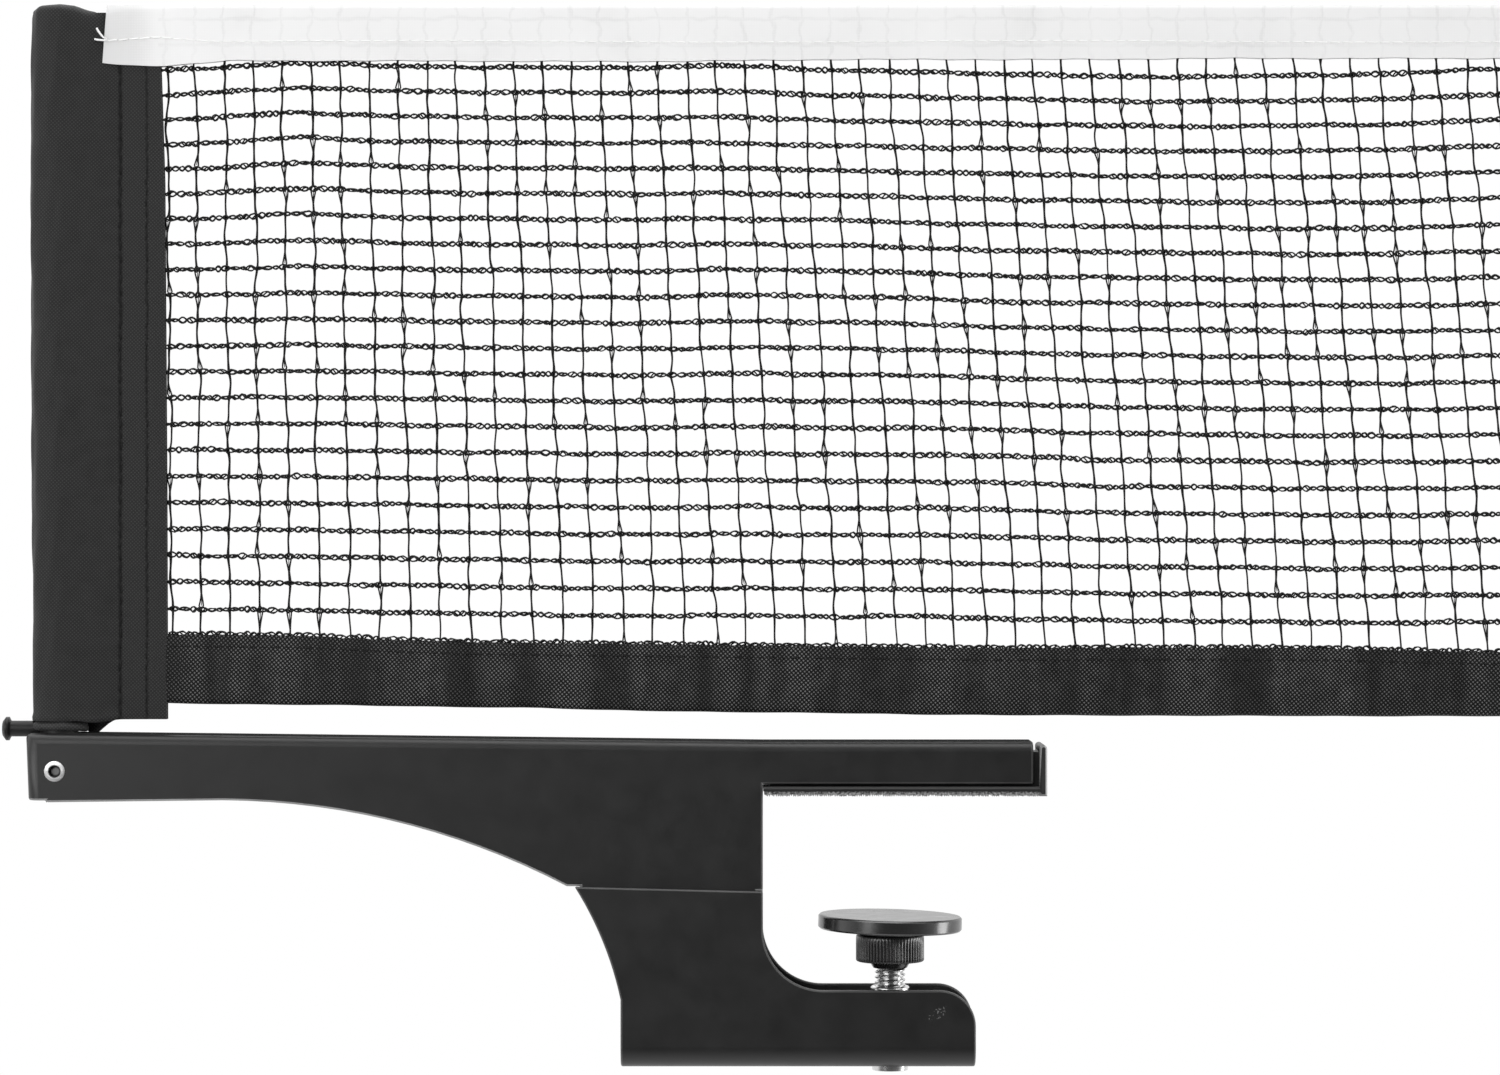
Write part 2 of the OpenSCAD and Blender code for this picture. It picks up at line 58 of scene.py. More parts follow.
CAM_X, CAM_Y, CAM_Z = -27.3, -812.5, 50.15
PX = 0.195                          # mm per photo pixel in the plane of the net
MID_X, MID_Y = 750.0, 537.5         # the photo's middle in pixels

scene = bpy.context.scene
scene.view_settings.view_transform = "Standard"
cam_data = bpy.data.cameras.new("camera")
cam_data.lens, cam_data.sensor_width, cam_data.sensor_fit = 100, 36, "HORIZONTAL"
cam_data.clip_start, cam_data.clip_end = 0.02, 20
cam = bpy.data.objects.new("camera", cam_data)
cam.location = (CAM_X * MM, CAM_Y * MM, CAM_Z * MM)
cam.rotation_euler = (math.pi / 2, 0, 0)
scene.collection.objects.link(cam)
scene.camera = cam


def x_of(px):
    return CAM_X + (px - MID_X) * PX


def z_of(py):
    return CAM_Z + (MID_Y - py) * PX


def px_of(x):
    return MID_X + (np.asarray(x, float) - CAM_X) / PX


# ---- node trees ----


class Tree:
    """A node tree and short ways to build it. A value is a number, a colour or a node's output."""

    def __init__(self, owner):
        owner.use_nodes = True
        self.tree = owner.node_tree

    def feed(self, socket, value):
        if isinstance(value, bpy.types.NodeSocket):
            self.tree.links.new(value, socket)
        else:
            socket.default_value = value

    def node(self, kind, **values):
        """A new node. A value goes to the property of its name, or to the socket, with _ for a space."""
        n = self.tree.nodes.new("ShaderNode" + kind)
        for key, value in values.items():
            if hasattr(n, key):
                setattr(n, key, value)
            else:
                self.feed(n.inputs[key.replace("_", " ")], value)
        return n

    def in_order(self, n, *values):
        """Feeds a node's first sockets and returns its first output."""
        for socket, value in zip(n.inputs, values):
            self.feed(socket, value)
        return n.outputs[0]

    def math(self, operation, *values):
        return self.in_order(self.node("Math", operation=operation), *values)

    def plus(self, a, b):
        return self.math("ADD", a, b)

    def minus(self, a, b):
        return self.math("SUBTRACT", a, b)

    def times(self, a, b):
        return self.math("MULTIPLY", a, b)

    def larger(self, a, b):
        return self.math("MAXIMUM", a, b)

    def weighed(self, a, share_a, b, share_b):
        return self.plus(self.times(a, share_a), self.times(b, share_b))

    def remap(self, value, from_min, from_max, to_min, to_max):
        n = self.node("MapRange", interpolation_type="SMOOTHSTEP", Value=value,
                      From_Min=from_min, From_Max=from_max, To_Min=to_min, To_Max=to_max)
        return n.outputs["Result"]

    def ramp(self, factor, *stops):
        """Greys from stops of (position, grey)."""
        n = self.node("ValToRGB")
        elements = n.color_ramp.elements
        while len(elements) < len(stops):
            elements.new(0.5)
        for element, (position, grey) in zip(elements, stops):
            element.position = position
            element.color = (grey, grey, grey, 1)
        return self.in_order(n, factor)

    def mix(self, factor, a, b, blend_type="MIX"):
        n = self.node("Mix", data_type="RGBA", blend_type=blend_type, Factor=factor)
        self.feed(n.inputs["A"], a)
        self.feed(n.inputs["B"], b)
        return n.outputs["Result"]

    def shaders(self, factor, below, above):
        return self.in_order(self.node("MixShader"), factor, below, above)

    def place(self, scale=(1000, 1000, 1000), turn=(0, 0, 0)):
        """The place on the object, in mm unless another scale is given."""
        at = self.node("TexCoord").outputs["Object"]
        return self.node("Mapping", Vector=at, Scale=scale, Rotation=turn).outputs["Vector"]

    def xyz(self, vector):
        return self.node("SeparateXYZ", Vector=vector).outputs

    def noise(self, at, scale, detail=3.0):
        return self.node("TexNoise", Vector=at, Scale=scale, Detail=detail).outputs["Fac"]

    def wave(self, at, scale, axis, bend=0.0, bend_scale=1.0, kind="BANDS"):
        """Sine bands across an axis, or rings round it."""
        n = self.node("TexWave", wave_type=kind, Vector=at, Scale=scale, Distortion=bend,
                      Detail=1, Detail_Scale=bend_scale)
        setattr(n, kind.lower() + "_direction", axis)
        return n.outputs["Fac"]


class Look(Tree):
    """A material: one Principled shader and what feeds it."""

    def __init__(self, name, grey, rough, metal=0.0, spec=0.5):
        self.material = bpy.data.materials.new(name)
        super().__init__(self.material)
        self.shader = self.tree.nodes["Principled BSDF"]
        self.into("Base Color", (grey, grey, grey, 1))
        self.into("Roughness", rough)
        self.into("Metallic", metal)
        self.into("Specular IOR Level", spec)

    def into(self, socket, value):
        self.feed(self.shader.inputs[socket], value)

    def colour(self):
        """What feeds the base colour so far."""
        return self.shader.inputs["Base Color"].links[0].from_socket

    def darken(self, shade):
        self.into("Base Color", self.mix(1.0, self.colour(), shade, "MULTIPLY"))

    def bump(self, height, strength, distance):
        n = self.node("Bump", Strength=strength, Distance=distance * MM, Height=height)
        self.into("Normal", n.outputs[0])


# ---- world and lamps ----


def studio():
    """Even grey light. The camera, gloss and glass see white, which is dimmer for gloss at the front."""
    scene.world = bpy.data.worlds.new("studio")
    t = Tree(scene.world)
    t.tree.nodes.clear()
    white = (1, 1, 1, 1)
    path = t.node("LightPath").outputs
    to_back = t.xyz(t.node("TexCoord").outputs["Generated"])["Y"]
    glow = t.larger(t.remap(to_back, -1.0, 0.1, 0.14, 1.0), path["Is Camera Ray"])
    light = t.node("Background", Color=white, Strength=0.50).outputs[0]
    backdrop = t.node("Background", Color=white, Strength=glow).outputs[0]
    seen = t.larger(t.larger(path["Is Camera Ray"], path["Is Glossy Ray"]), path["Is Transmission Ray"])
    t.node("OutputWorld", Surface=t.shaders(seen, light, backdrop))


studio()


def lamp(name, at, aim, size, power):
    """A round soft lamp. Its place, its aim and its size are in metres."""
    data = bpy.data.lights.new(name, "AREA")
    data.shape, data.size, data.energy = "DISK", size, power
    o = bpy.data.objects.new(name, data)
    o.location = at
    x, y, z = np.array(aim, float) - np.array(at, float)
    o.rotation_euler = (math.atan2(math.hypot(x, y), -z), 0, math.atan2(y, x) - math.pi / 2)
    o.visible_camera = False
    scene.collection.objects.link(o)


lamp("key", (-0.62, -0.80, 0.26), (-0.12, 0, 0.03), 0.75, 4.3)
lamp("fill", (0.95, -0.8, 0.75), (-0.02, 0, 0.05), 0.9, 3.9)
lamp("side", (0.75, 0.02, 0.0), (0, 0, -0.03), 0.35, 1.7)
lamp("top", (-0.08, -0.06, 0.95), (-0.03, 0, 0.02), 0.9, 4.6)
lamp("back", (-0.2, 0.95, 0.75), (-0.02, 0, 0.02), 0.8, 1.4)

# ---- materials ----


def coated(name, tone, rough=0.42, spec=0.32, grain=7.0, lift=0.012):
    """Black coat or moulded plastic: an orange-peel skin, faint cloudiness and slightly uneven gloss."""
    m = Look(name, tone, rough, 0.0, spec)
    at = m.place()
    skin = m.noise(at, grain)
    mixed = m.weighed(m.noise(at, 0.16, 4), 0.6, skin, 0.4)
    m.into("Base Color", m.ramp(mixed, (0.30, tone * 0.72), (0.72, tone * 1.4)))
    m.into("Roughness", m.ramp(mixed, (0.3, rough - 0.06), (0.7, rough + 0.07)))
    m.bump(skin, 0.35, lift)
    return m


def bright(name, tone, rough=0.26):
    """Turned or plated bright steel with fine turning marks."""
    m = Look(name, tone, rough, 1.0)
    lines = m.noise(m.place((300, 300, 6000)), 1.0, 2)
    mixed = m.weighed(lines, 0.5, m.noise(m.place(), 0.5), 0.5)
    m.into("Base Color", m.ramp(mixed, (0.3, tone * 0.72), (0.7, min(1.0, tone * 1.1))))
    m.into("Roughness", m.ramp(mixed, (0.3, rough - 0.06), (0.7, rough + 0.12)))
    m.bump(lines, 0.25, 0.01)
    return m


def woven(name, dark, light, pitch, slant, rough, spec, lift, dark_at=0.12):
    """Plain weave in the X-Z plane, whose threads lie pitch mm apart, turned by slant degrees."""
    m = Look(name, light, rough, 0.0, spec)
    at = m.place(turn=(0, math.radians(slant), 0))
    threads = math.pi / pitch / 10      # a wave texture's bands lie pi / 10 / scale apart
    dots = m.times(m.wave(at, threads, "X"), m.wave(at, threads, "Z"))
    cloud = m.noise(m.place(), 0.35, 4)
    mixed = m.weighed(dots, 0.75, cloud, 0.35)
    m.into("Base Color", m.ramp(mixed, (dark_at, dark), (0.85, light)))
    m.into("Roughness", m.ramp(cloud, (0.3, rough - 0.08), (0.7, rough + 0.08)))
    m.into("Sheen Weight", 0.08)
    m.bump(mixed, 0.5, lift)
    return m


def wander(m, scale, width):
    """A slow wobble to and fro, about width wide."""
    return m.times(m.minus(m.noise(m.place(scale), 1.0, 2), 0.5), width)


def radius(m, a, b, stretch=1.0):
    """The distance from the origin of a and b, with b squared counted stretch times."""
    b_squared = m.times(b, b)
    if stretch != 1.0:
        b_squared = m.times(b_squared, stretch)
    return m.math("SQRT", m.plus(m.times(a, a), b_squared))


def worn_spot(m, x=9.0, z=-41.9):
    """Bare specks in a small slanting oval on the lower jaw."""
    at = m.xyz(m.place())
    along = m.minus(at["X"], x)
    up = m.minus(m.plus(at["Z"], -z), m.times(along, 0.5))
    inside = m.math("LESS_THAN", radius(m, along, up, 3.0), 1.9)
    specks = m.math("GREATER_THAN", m.noise(m.place(), 2.4, 2), 0.60)
    m.into("Base Color", m.mix(m.times(inside, specks), m.colour(), (0.12, 0.12, 0.12, 1)))


def screw_socket_painted_shade(m):
    """The set screw's ring is bright, and the socket inside it has painted shade: dark, paler at its
    middle.
    """
    at = m.xyz(m.place())
    out = radius(m, m.plus(at["X"], -POST_X), m.minus(at["Z"], SET_SCREW_Z))
    greys = m.ramp(m.math("DIVIDE", out, 2.0), (0.30, 0.22), (0.44, 0.05), (0.58, 0.04), (0.66, 0.85))
    m.into("Base Color", greys)


def disc_plastic(name):
    """Moulded black with faint rings on its faces."""
    m = Look(name, 0.008, 0.2, 0.0, 1.0)
    at = m.place()
    rings = m.wave(at, 0.9, "Z", 0.6, 0.4, "RINGS")
    fine = m.noise(at, 5.0)
    mixed = m.weighed(m.noise(at, 0.25), 0.7, fine, 0.3)
    m.into("Base Color", m.ramp(mixed, (0.3, 0.007), (0.7, 0.015)))
    m.into("Roughness", m.ramp(m.weighed(rings, 0.25, mixed, 0.75), (0.2, 0.15), (0.8, 0.30)))
    m.bump(m.plus(rings, m.times(fine, 0.5)), 0.2, 0.015)
    return m


def teeth_paler_lower_down(m):
    """The grip's colour is paler the lower it lies, so its teeth are paler at their tips, which point down,
    than between them.
    """
    height = m.xyz(m.place())["Z"]
    mixed = m.minus(m.noise(m.place(), 2.2, 2), m.times(height, 0.22))
    m.into("Base Color", m.ramp(mixed, (0.22, 0.03), (0.62, 0.42)))


def seam_painted_shade(m, *seams):
    """Painted shade in the furrows down the flange, given as (x, width), which wander a little."""
    x = m.xyz(m.place())["X"]
    sway = wander(m, (1, 1, 700), 1.1)
    bands = [m.remap(m.math("ABSOLUTE", m.minus(m.minus(x, seam), sway)), 0.1, width, 0.25, 1.0)
             for seam, width in seams]
    m.darken(m.ramp(m.times(*bands), (0.0, 0.0), (1.0, 1.0)))


def thread(name):
    """Twisted black thread."""
    m = Look(name, 0.006, 0.55, 0.0, 0.25)
    twist = m.wave(m.place((2200, 2200, 2200)), 0.9, "DIAGONAL", 0.5)
    m.into("Base Color", m.ramp(twist, (0.2, 0.004), (0.8, 0.010)))
    m.bump(twist, 0.4, 0.02)
    return m


def tape_cloth(name):
    """White tape, with the mesh inside it painted on as faint shade, and painted shade darkening it towards
    its left end.
    """
    m = Look(name, 0.79, 0.62, 0.0, 0.3)
    at = m.place()
    weave = m.times(m.wave(at, 1.0, "X", 0.3), m.wave(at, 1.0, "Z", 0.3))
    mixed = m.weighed(weave, 0.25, m.noise(m.place((60, 60, 60)), 1.0, 4), 0.75)
    xyz = m.xyz(at)
    sway = wander(m, (300, 300, 300), 3.0)
    # Painted shade of the mesh's strands inside the tape: lines along its uprights and its two rows.
    pitch = 5.63                        # of the uprights, the first of them at x = -141.1
    from_upright = m.plus(m.plus(xyz["X"], 141.1 + pitch * 40), sway)
    near = m.math("MINIMUM", m.math("PINGPONG", from_upright, pitch / 2), 9.0)
    for row in (151.2, 146.1):
        from_row = m.math("ABSOLUTE", m.plus(m.minus(xyz["Z"], row), m.times(sway, 0.5)))
        near = m.math("MINIMUM", near, m.times(from_row, 0.8))
    shade = m.remap(near, 0.05, 0.5, 0.05, 0.0)
    on_net = m.math("GREATER_THAN", xyz["X"], -142.5)
    # Painted shade: the tape darkens towards its left end, against the light that falls there.
    mixed = m.minus(mixed, m.remap(xyz["X"], -149.0, -138.0, 0.40, 0.0))
    mixed = m.minus(mixed, m.times(m.times(shade, on_net), 4.0))
    m.into("Base Color", m.ramp(mixed, (0.0, 0.66), (0.35, 0.775), (0.75, 0.815)))
    m.bump(mixed, 0.12, 0.05)
    return m


steel_black = coated("black_steel", 0.0062, 0.42, 0.66)
worn_spot(steel_black)
# Painted highlight: a paler copy of the black coat for the broken edges, standing in for the light they
# catch.
steel_edge_highlight = coated("black_steel_edge", 0.055, 0.40, 0.6)
# Painted reflection: a much paler copy of the coat for the front plate's lower edge, standing in for the
# pale floor it reflects.
steel_floor_reflection = coated("black_steel_under_edge", 0.24, 0.45, 0.5)
# Painted shade: a copy of the coat for faces that look up. It has no gloss, so the streak of light along
# the arm's top goes, and a paler grey of its own.
steel_top_shaded = coated("black_steel_top", 0.035, 0.85, 0.0)
post_black = coated("post_black", 0.012)
cap_black = coated("cap_black", 0.010, 0.5)

shoe_black = coated("shoe_plastic", 0.016, 0.44, 0.45, 4.0, 0.02)
# Painted highlight: a paler copy of the shoe's plastic for the broken edges of its lip.
shoe_edge_highlight = coated("shoe_plastic_edge_highlight", 0.16, 0.4, 0.5)
# Painted highlight: a still paler copy for the lip's broken edges that face right, standing in for light
# from the right.
shoe_rim_highlight = coated("shoe_plastic_rim_highlight", 0.42, 0.5, 0.4)
# Painted shade: a darker, duller copy for the recessed faces behind the shoe's front that face the camera.
shoe_recess_shade = coated("shoe_plastic_core_shaded", 0.004, 0.6, 0.2)
socket_black = coated("socket_plastic", 0.014, 0.5)
disc_black = disc_plastic("disc_black")
hub_black = coated("hub_plastic", 0.006, 0.24, 1.0, 6.0, 0.012)
grip_grey = coated("grip_rubber", 0.30, 0.75, 0.35, 3.0, 0.03)
teeth_paler_lower_down(grip_grey)

screw_steel = bright("screw_steel", 0.72, 0.16)
bush_steel = bright("bush_steel", 0.75, 0.16)
ring_steel = bright("ring_steel", 0.5)
grub_steel = bright("grub_steel", 0.86, 0.42)
# Painted shade in the set screw's socket.
screw_socket_painted_shade(grub_steel)

sleeve_nylon = woven("sleeve_nylon", 0.006, 0.034, 0.50, 43, 0.68, 0.35, 0.05)
# Painted shade along the flange's two stitched furrows.
seam_painted_shade(sleeve_nylon, (-149.95, 0.62), (-144.8, 0.42))
# Painted light: the roll is a paler copy of the sleeve's cloth, standing in for the light that its bulge
# catches.
roll_nylon_painted_light = woven("roll_nylon_painted_light", 0.012, 0.060, 0.50, 43, 0.66, 0.4, 0.05)
hem_nylon = woven("hem_nylon", 0.001, 0.150, 0.60, 40, 0.62, 0.22, 0.10, dark_at=0.30)
# Painted light and shade of soft folds: upright bands down the hem, darker and paler.
hem_fold_painted_shading = hem_nylon.noise(hem_nylon.place((150, 1, 9)), 1.0, 2)
hem_nylon.darken(hem_nylon.ramp(hem_fold_painted_shading, (0.36, 0.40), (0.64, 1.1)))
thread_black = thread("thread_black")
tape_white = tape_cloth("tape_white")
thread_white = Look("thread_white", 0.92, 0.6, 0.0, 0.3)

# ---- mesh makers ----


def mesh(name, verts, faces, look, body, smooth=0.0):
    """A smooth mesh that rides on a body, with its edges sharp from smooth degrees on, if given."""
    me = bpy.data.meshes.new(name)
    me.from_pydata((np.asarray(verts, float) * MM).tolist(), [], [list(map(int, f)) for f in faces])
    me.update()
    me.materials.append(look.material)
    me.polygons.foreach_set("use_smooth", [True] * len(me.polygons))
    if smooth:
        me.set_sharp_from_angle(angle=math.radians(smooth))
    o = bpy.data.objects.new(name, me)
    scene.collection.objects.link(o)
    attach(o, body)
    return o


def strands(items, sides=5):
    """Verts and faces of round threads. Each item is (points, radius or radii)."""
    verts, faces, base = [], [], 0
    a = np.arange(sides) * 2 * np.pi / sides
    for pts, r in items:
        p = np.asarray(pts, float)
        n = len(p)
        along = np.gradient(p, axis=0)
        along /= np.linalg.norm(along, axis=1)[:, None] + 1e-12
        u = np.cross(along, [0.0, 1.0, 0.0])
        u /= np.linalg.norm(u, axis=1)[:, None] + 1e-9
        w = np.cross(along, u)
        out = np.cos(a)[None, :, None] * u[:, None] + np.sin(a)[None, :, None] * w[:, None]
        radii = np.broadcast_to(np.asarray(r, float), (n,))
        verts.append((p[:, None] + radii[:, None, None] * out).reshape(-1, 3))
        i, j = np.arange(n - 1)[:, None] * sides, np.arange(sides)[None]
        k = (j + 1) % sides
        quads = np.stack([i + j, i + k, i + sides + k, i + sides + j], -1).reshape(-1, 4)
        faces += (quads + base).tolist()
        faces.append((base + np.arange(sides))[::-1].tolist())
        faces.append((base + (n - 1) * sides + np.arange(sides)).tolist())
        base += n * sides
    return np.concatenate(verts), faces


def slab(grid, t):
    """A closed sheet t thick about a grid of points."""
    g = np.asarray(grid, float)
    nu, nv = g.shape[:2]
    n = np.cross(np.gradient(g, axis=0), np.gradient(g, axis=1))
    n /= np.linalg.norm(n, axis=2)[..., None] + 1e-12
    verts = np.concatenate([(g + n * t / 2).reshape(-1, 3), (g - n * t / 2).reshape(-1, 3)])
    m = nu * nv
    i, j = np.meshgrid(np.arange(nu - 1), np.arange(nv - 1), indexing="ij")
    a = i * nv + j
    q = np.stack([a, a + nv, a + nv + 1, a + 1], -1).reshape(-1, 4)
    faces = q.tolist() + (q[:, ::-1] + m).tolist()
    rim = [k * nv for k in range(nu)] + [(nu - 1) * nv + k for k in range(1, nv)]
    rim += [k * nv + nv - 1 for k in range(nu - 2, -1, -1)] + list(range(nv - 2, 0, -1))
    for a, b in zip(rim, rim[1:] + rim[:1]):
        faces.append([a, a + m, b + m, b][::-1])
    return verts, faces


def ring_faces(rings, n, wrap=False):
    """Faces between neighbouring rings of n points, and from the last to the first where they wrap."""
    faces = []
    for i in range(rings if wrap else rings - 1):
        a, b = i * n, (i + 1) % rings * n
        for j in range(n):
            k = (j + 1) % n
            faces.append([a + j, b + j, b + k, a + k])
    return faces


def soft_noise(x, seed, lengths):
    """A smooth wandering line: a sine of each wavelength, with seeded lengths and phases."""
    g = np.random.default_rng(seed)
    x = np.asarray(x, float)
    out = np.zeros_like(x)
    for w in lengths:
        out += np.sin(2 * np.pi * x / w * g.uniform(0.85, 1.15) + g.uniform(0, 6.28)) / len(lengths)
    return out


def smooth_line(p, times):
    """A line with its corners eased and its ends kept."""
    p = p.copy()
    for _ in range(times):
        p[1:-1] = 0.25 * p[:-2] + 0.5 * p[1:-1] + 0.25 * p[2:]
    return p


def ramp_up(x, start, width):
    """0 up to start, then up to 1 over width."""
    return min(1.0, max(0.0, (x - start) / width))


# ---- CAD nodes that stay: cut edges, coats and metals ----

WELD = 2e-6                 # metres within which the CAD's points are one
BROKEN = math.radians(30)   # edges that turn by more than this are broken


def weighted_normals(o):
    n = o.modifiers.new("normals", "WEIGHTED_NORMAL")
    n.weight, n.keep_sharp, n.mode = 100, True, "FACE_AREA"


def dress(name, look, width=0.0):
    """Gives a node its material, and breaks its edges by width."""
    o = NODES[name]
    o.data.materials.clear()
    o.data.materials.append(look.material)
    o.data.polygons.foreach_set("material_index", [0] * len(o.data.polygons))
    o.data.polygons.foreach_set("use_smooth", [True] * len(o.data.polygons))
    o.modifiers.new("weld", "WELD").merge_threshold = WELD
    if width:
        b = o.modifiers.new("bevel", "BEVEL")
        b.width, b.segments, b.limit_method, b.angle_limit = width * MM, 2, "ANGLE", BROKEN
        b.harden_normals = True
    weighted_normals(o)


def formed(node_name, name, looks, passes, kink=None, paint=None, rim=None):
    """A copy of a CAD node in clean polygons, with its edges broken in passes.

    A pass is (test of an edge's two ends in mm, width, segments, material index). paint gives the material
    index of a face, and rim that of a broken edge with index 1, from its normal and its middle in mm.
    kink is the stretch of x in which a hair-wide bend is closed up."""
    bm = bmesh.new()
    bm.from_mesh(NODES[node_name].data)
    bmesh.ops.remove_doubles(bm, verts=bm.verts, dist=WELD)
    if kink:
        near = [v for v in bm.verts if kink[0] < v.co.x / MM < kink[1]]
        bmesh.ops.remove_doubles(bm, verts=near, dist=0.12 * MM)
    bmesh.ops.dissolve_degenerate(bm, dist=WELD, edges=bm.edges)
    bmesh.ops.dissolve_limit(bm, angle_limit=math.radians(0.5), verts=bm.verts, edges=bm.edges)
    bm.normal_update()
    for f in bm.faces:
        f.material_index = paint(f.normal, f.calc_center_median() / MM) if paint else 0
    for test, width, segments, material in passes:
        edges = [e for e in bm.edges if len(e.link_faces) == 2 and e.calc_face_angle(0.0) > BROKEN
                 and test(*(np.array(v.co) / MM for v in e.verts))]
        bmesh.ops.bevel(bm, geom=edges, offset=width * MM, offset_type="OFFSET", segments=segments,
                        profile=0.5, affect="EDGES", clamp_overlap=not kink, material=material)
    bm.normal_update()
    for f in bm.faces:
        f.smooth = True
        if rim and f.material_index == 1:
            f.material_index = rim(f.normal, f.calc_center_median() / MM)
    me = bpy.data.meshes.new(name)
    for look in looks:      # before to_mesh, which would otherwise lose the indices
        me.materials.append(look.material)
    bm.to_mesh(me)
    bm.free()
    o = bpy.data.objects.new(name, me)
    scene.collection.objects.link(o)
    weighted_normals(o)
    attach(o, "clamp_frame")
    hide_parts(node_name)
    return o


def off_the_end(*ends):
    """Not the edges of the post's hole, the peg's slot and the set screw's hole, which are finely cut."""
    return not any((x < -154 and z > 9.6) or math.hypot(x - POST_X, z - SET_SCREW_Z) < 3
                   for x, _, z in ends)


def off_the_bush(*ends):
    """Not the edges of the hole that the bush fills."""
    return not any(abs(x) < 6 and abs(y) < 4.4 for x, y, _ in ends)


def on_lip(a, b):
    """The rim of the shoe's lip, on its front and on its back."""
    return min(a[0], b[0]) > 28.69 and min(abs(a[1]), abs(b[1])) > 6.98 and a[1] * b[1] > 0


def off_the_lip(a, b):
    return max(a[0], b[0]) < 28.6


def upper_rim(normal, middle):
    """The front plate's lower edge takes the palest copy, a painted reflection of the floor; the other
    broken edges take the painted highlight, and those at the arm's outer end the plain coat.
    """
    if normal.z < -0.2 and normal.y < -0.1 and middle.x < -24:
        return 3
    return 1 if middle.x > -150 else 0


# Faces that look up take the shaded copy, the broken edges the painted highlight, and the front plate's
# lower edge the painted reflection.
upper = formed("upper_bracket", "upper_channel", [steel_black, steel_edge_highlight, steel_top_shaded, steel_floor_reflection],
               [(off_the_end, 0.40, 3, 1)], kink=(-25.2, -24.6),
               paint=lambda normal, middle: 2 if normal.z > 0.95 else 0, rim=upper_rim)
# The lower channel's broken edges take the painted highlight.
lower = formed("lower_bracket", "lower_channel", [steel_black, steel_edge_highlight],
               [(off_the_bush, 0.36, 3, 1)])
# The shoe's recessed faces that face the camera take the painted shade, and its lip's broken edges the
# painted highlights.
shoe = formed("jaw_shoe", "moulded_shoe", [shoe_black, shoe_edge_highlight, shoe_recess_shade, shoe_rim_highlight],
              [(on_lip, 0.42, 4, 1), (off_the_lip, 0.12, 2, 0)],
              paint=lambda normal, middle: 2 if normal.y < -0.9 and middle.y > -6.9 else 0,
              rim=lambda normal, middle: 3 if normal.x > 0.3 else 1)
dress("post_socket", socket_black, 0.1)
dress("screw_bush", bush_steel, 0.12)


def tilted_disc():
    """The disc swivels on its pivot, and hangs a little low on the right as in the photograph."""
    tilt, pivot_z = math.radians(1.4), -24.85 * MM
    me = NODES["pressure_disc"].data.copy()
    me.name = "swivel_disc"
    co = np.zeros(len(me.vertices) * 3)
    me.vertices.foreach_get("co", co)
    co = co.reshape(-1, 3)
    x, z = co[:, 0].copy(), co[:, 2] - pivot_z
    co[:, 0] = x * math.cos(tilt) + z * math.sin(tilt)
    co[:, 2] = pivot_z + z * math.cos(tilt) - x * math.sin(tilt)
    me.vertices.foreach_set("co", co.ravel())
    me.update()
    o = bpy.data.objects.new("swivel_disc", me)
    scene.collection.objects.link(o)
    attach(o, "disc_plate")
    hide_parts("pressure_disc")
    NODES["swivel_disc"] = o


tilted_disc()
dress("swivel_disc", disc_black, 0.1)
dress("disc_snap_ring", ring_steel)
dress("post", post_black, 0.1)
dress("post_cap", cap_black, 0.1)
dress("cord_peg", post_black, 0.12)
dress("set_screw", grub_steel, 0.06)

# ---- clamp screw with its thread ----

HUB_TOP, HUB_FOOT = -27.15, -33.70


def clamp_stud():
    """The pivot over the hub, a plain shank inside it, and the M6 thread from its foot to a cut point."""
    lo, hi = (np.array(c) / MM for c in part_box("clamp_stud"))
    sides, pitch, step = 40, 1.0, 0.085
    centre, pivot, crest = 0.01, 2.5, 3.0       # radii
    th = np.arange(sides) * 2 * np.pi / sides
    rows = [(hi[2], centre), (hi[2], pivot - 0.25), (hi[2] - 0.25, pivot), (HUB_TOP, pivot),
            (HUB_TOP, crest), (HUB_FOOT + 0.6, crest)]
    z = HUB_FOOT + 0.5
    while z > lo[2] + 0.02:
        turn = np.mod(z / pitch - th / (2 * np.pi), 1.0)
        flank = np.clip(np.abs(turn - 0.5) * 2.7 - 0.12, 0, 1)
        rows.append((z, np.minimum(2.46 + 0.54 * flank, 2.35 + (z - lo[2]) * 0.9)))
        z -= step
    rows += [(lo[2], 2.3), (lo[2], centre)]
    verts = [np.stack([r * np.cos(th), r * np.sin(th), np.full(sides, z)], -1) for z, r in rows]
    faces = ring_faces(len(rows), sides)
    faces.append(list(range(sides)))
    faces.append([(len(rows) - 1) * sides + j for j in range(sides)][::-1])
    o = mesh("clamp_screw_thread", np.concatenate(verts), faces, screw_steel, "screw", 50)
    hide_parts("clamp_stud")


clamp_stud()


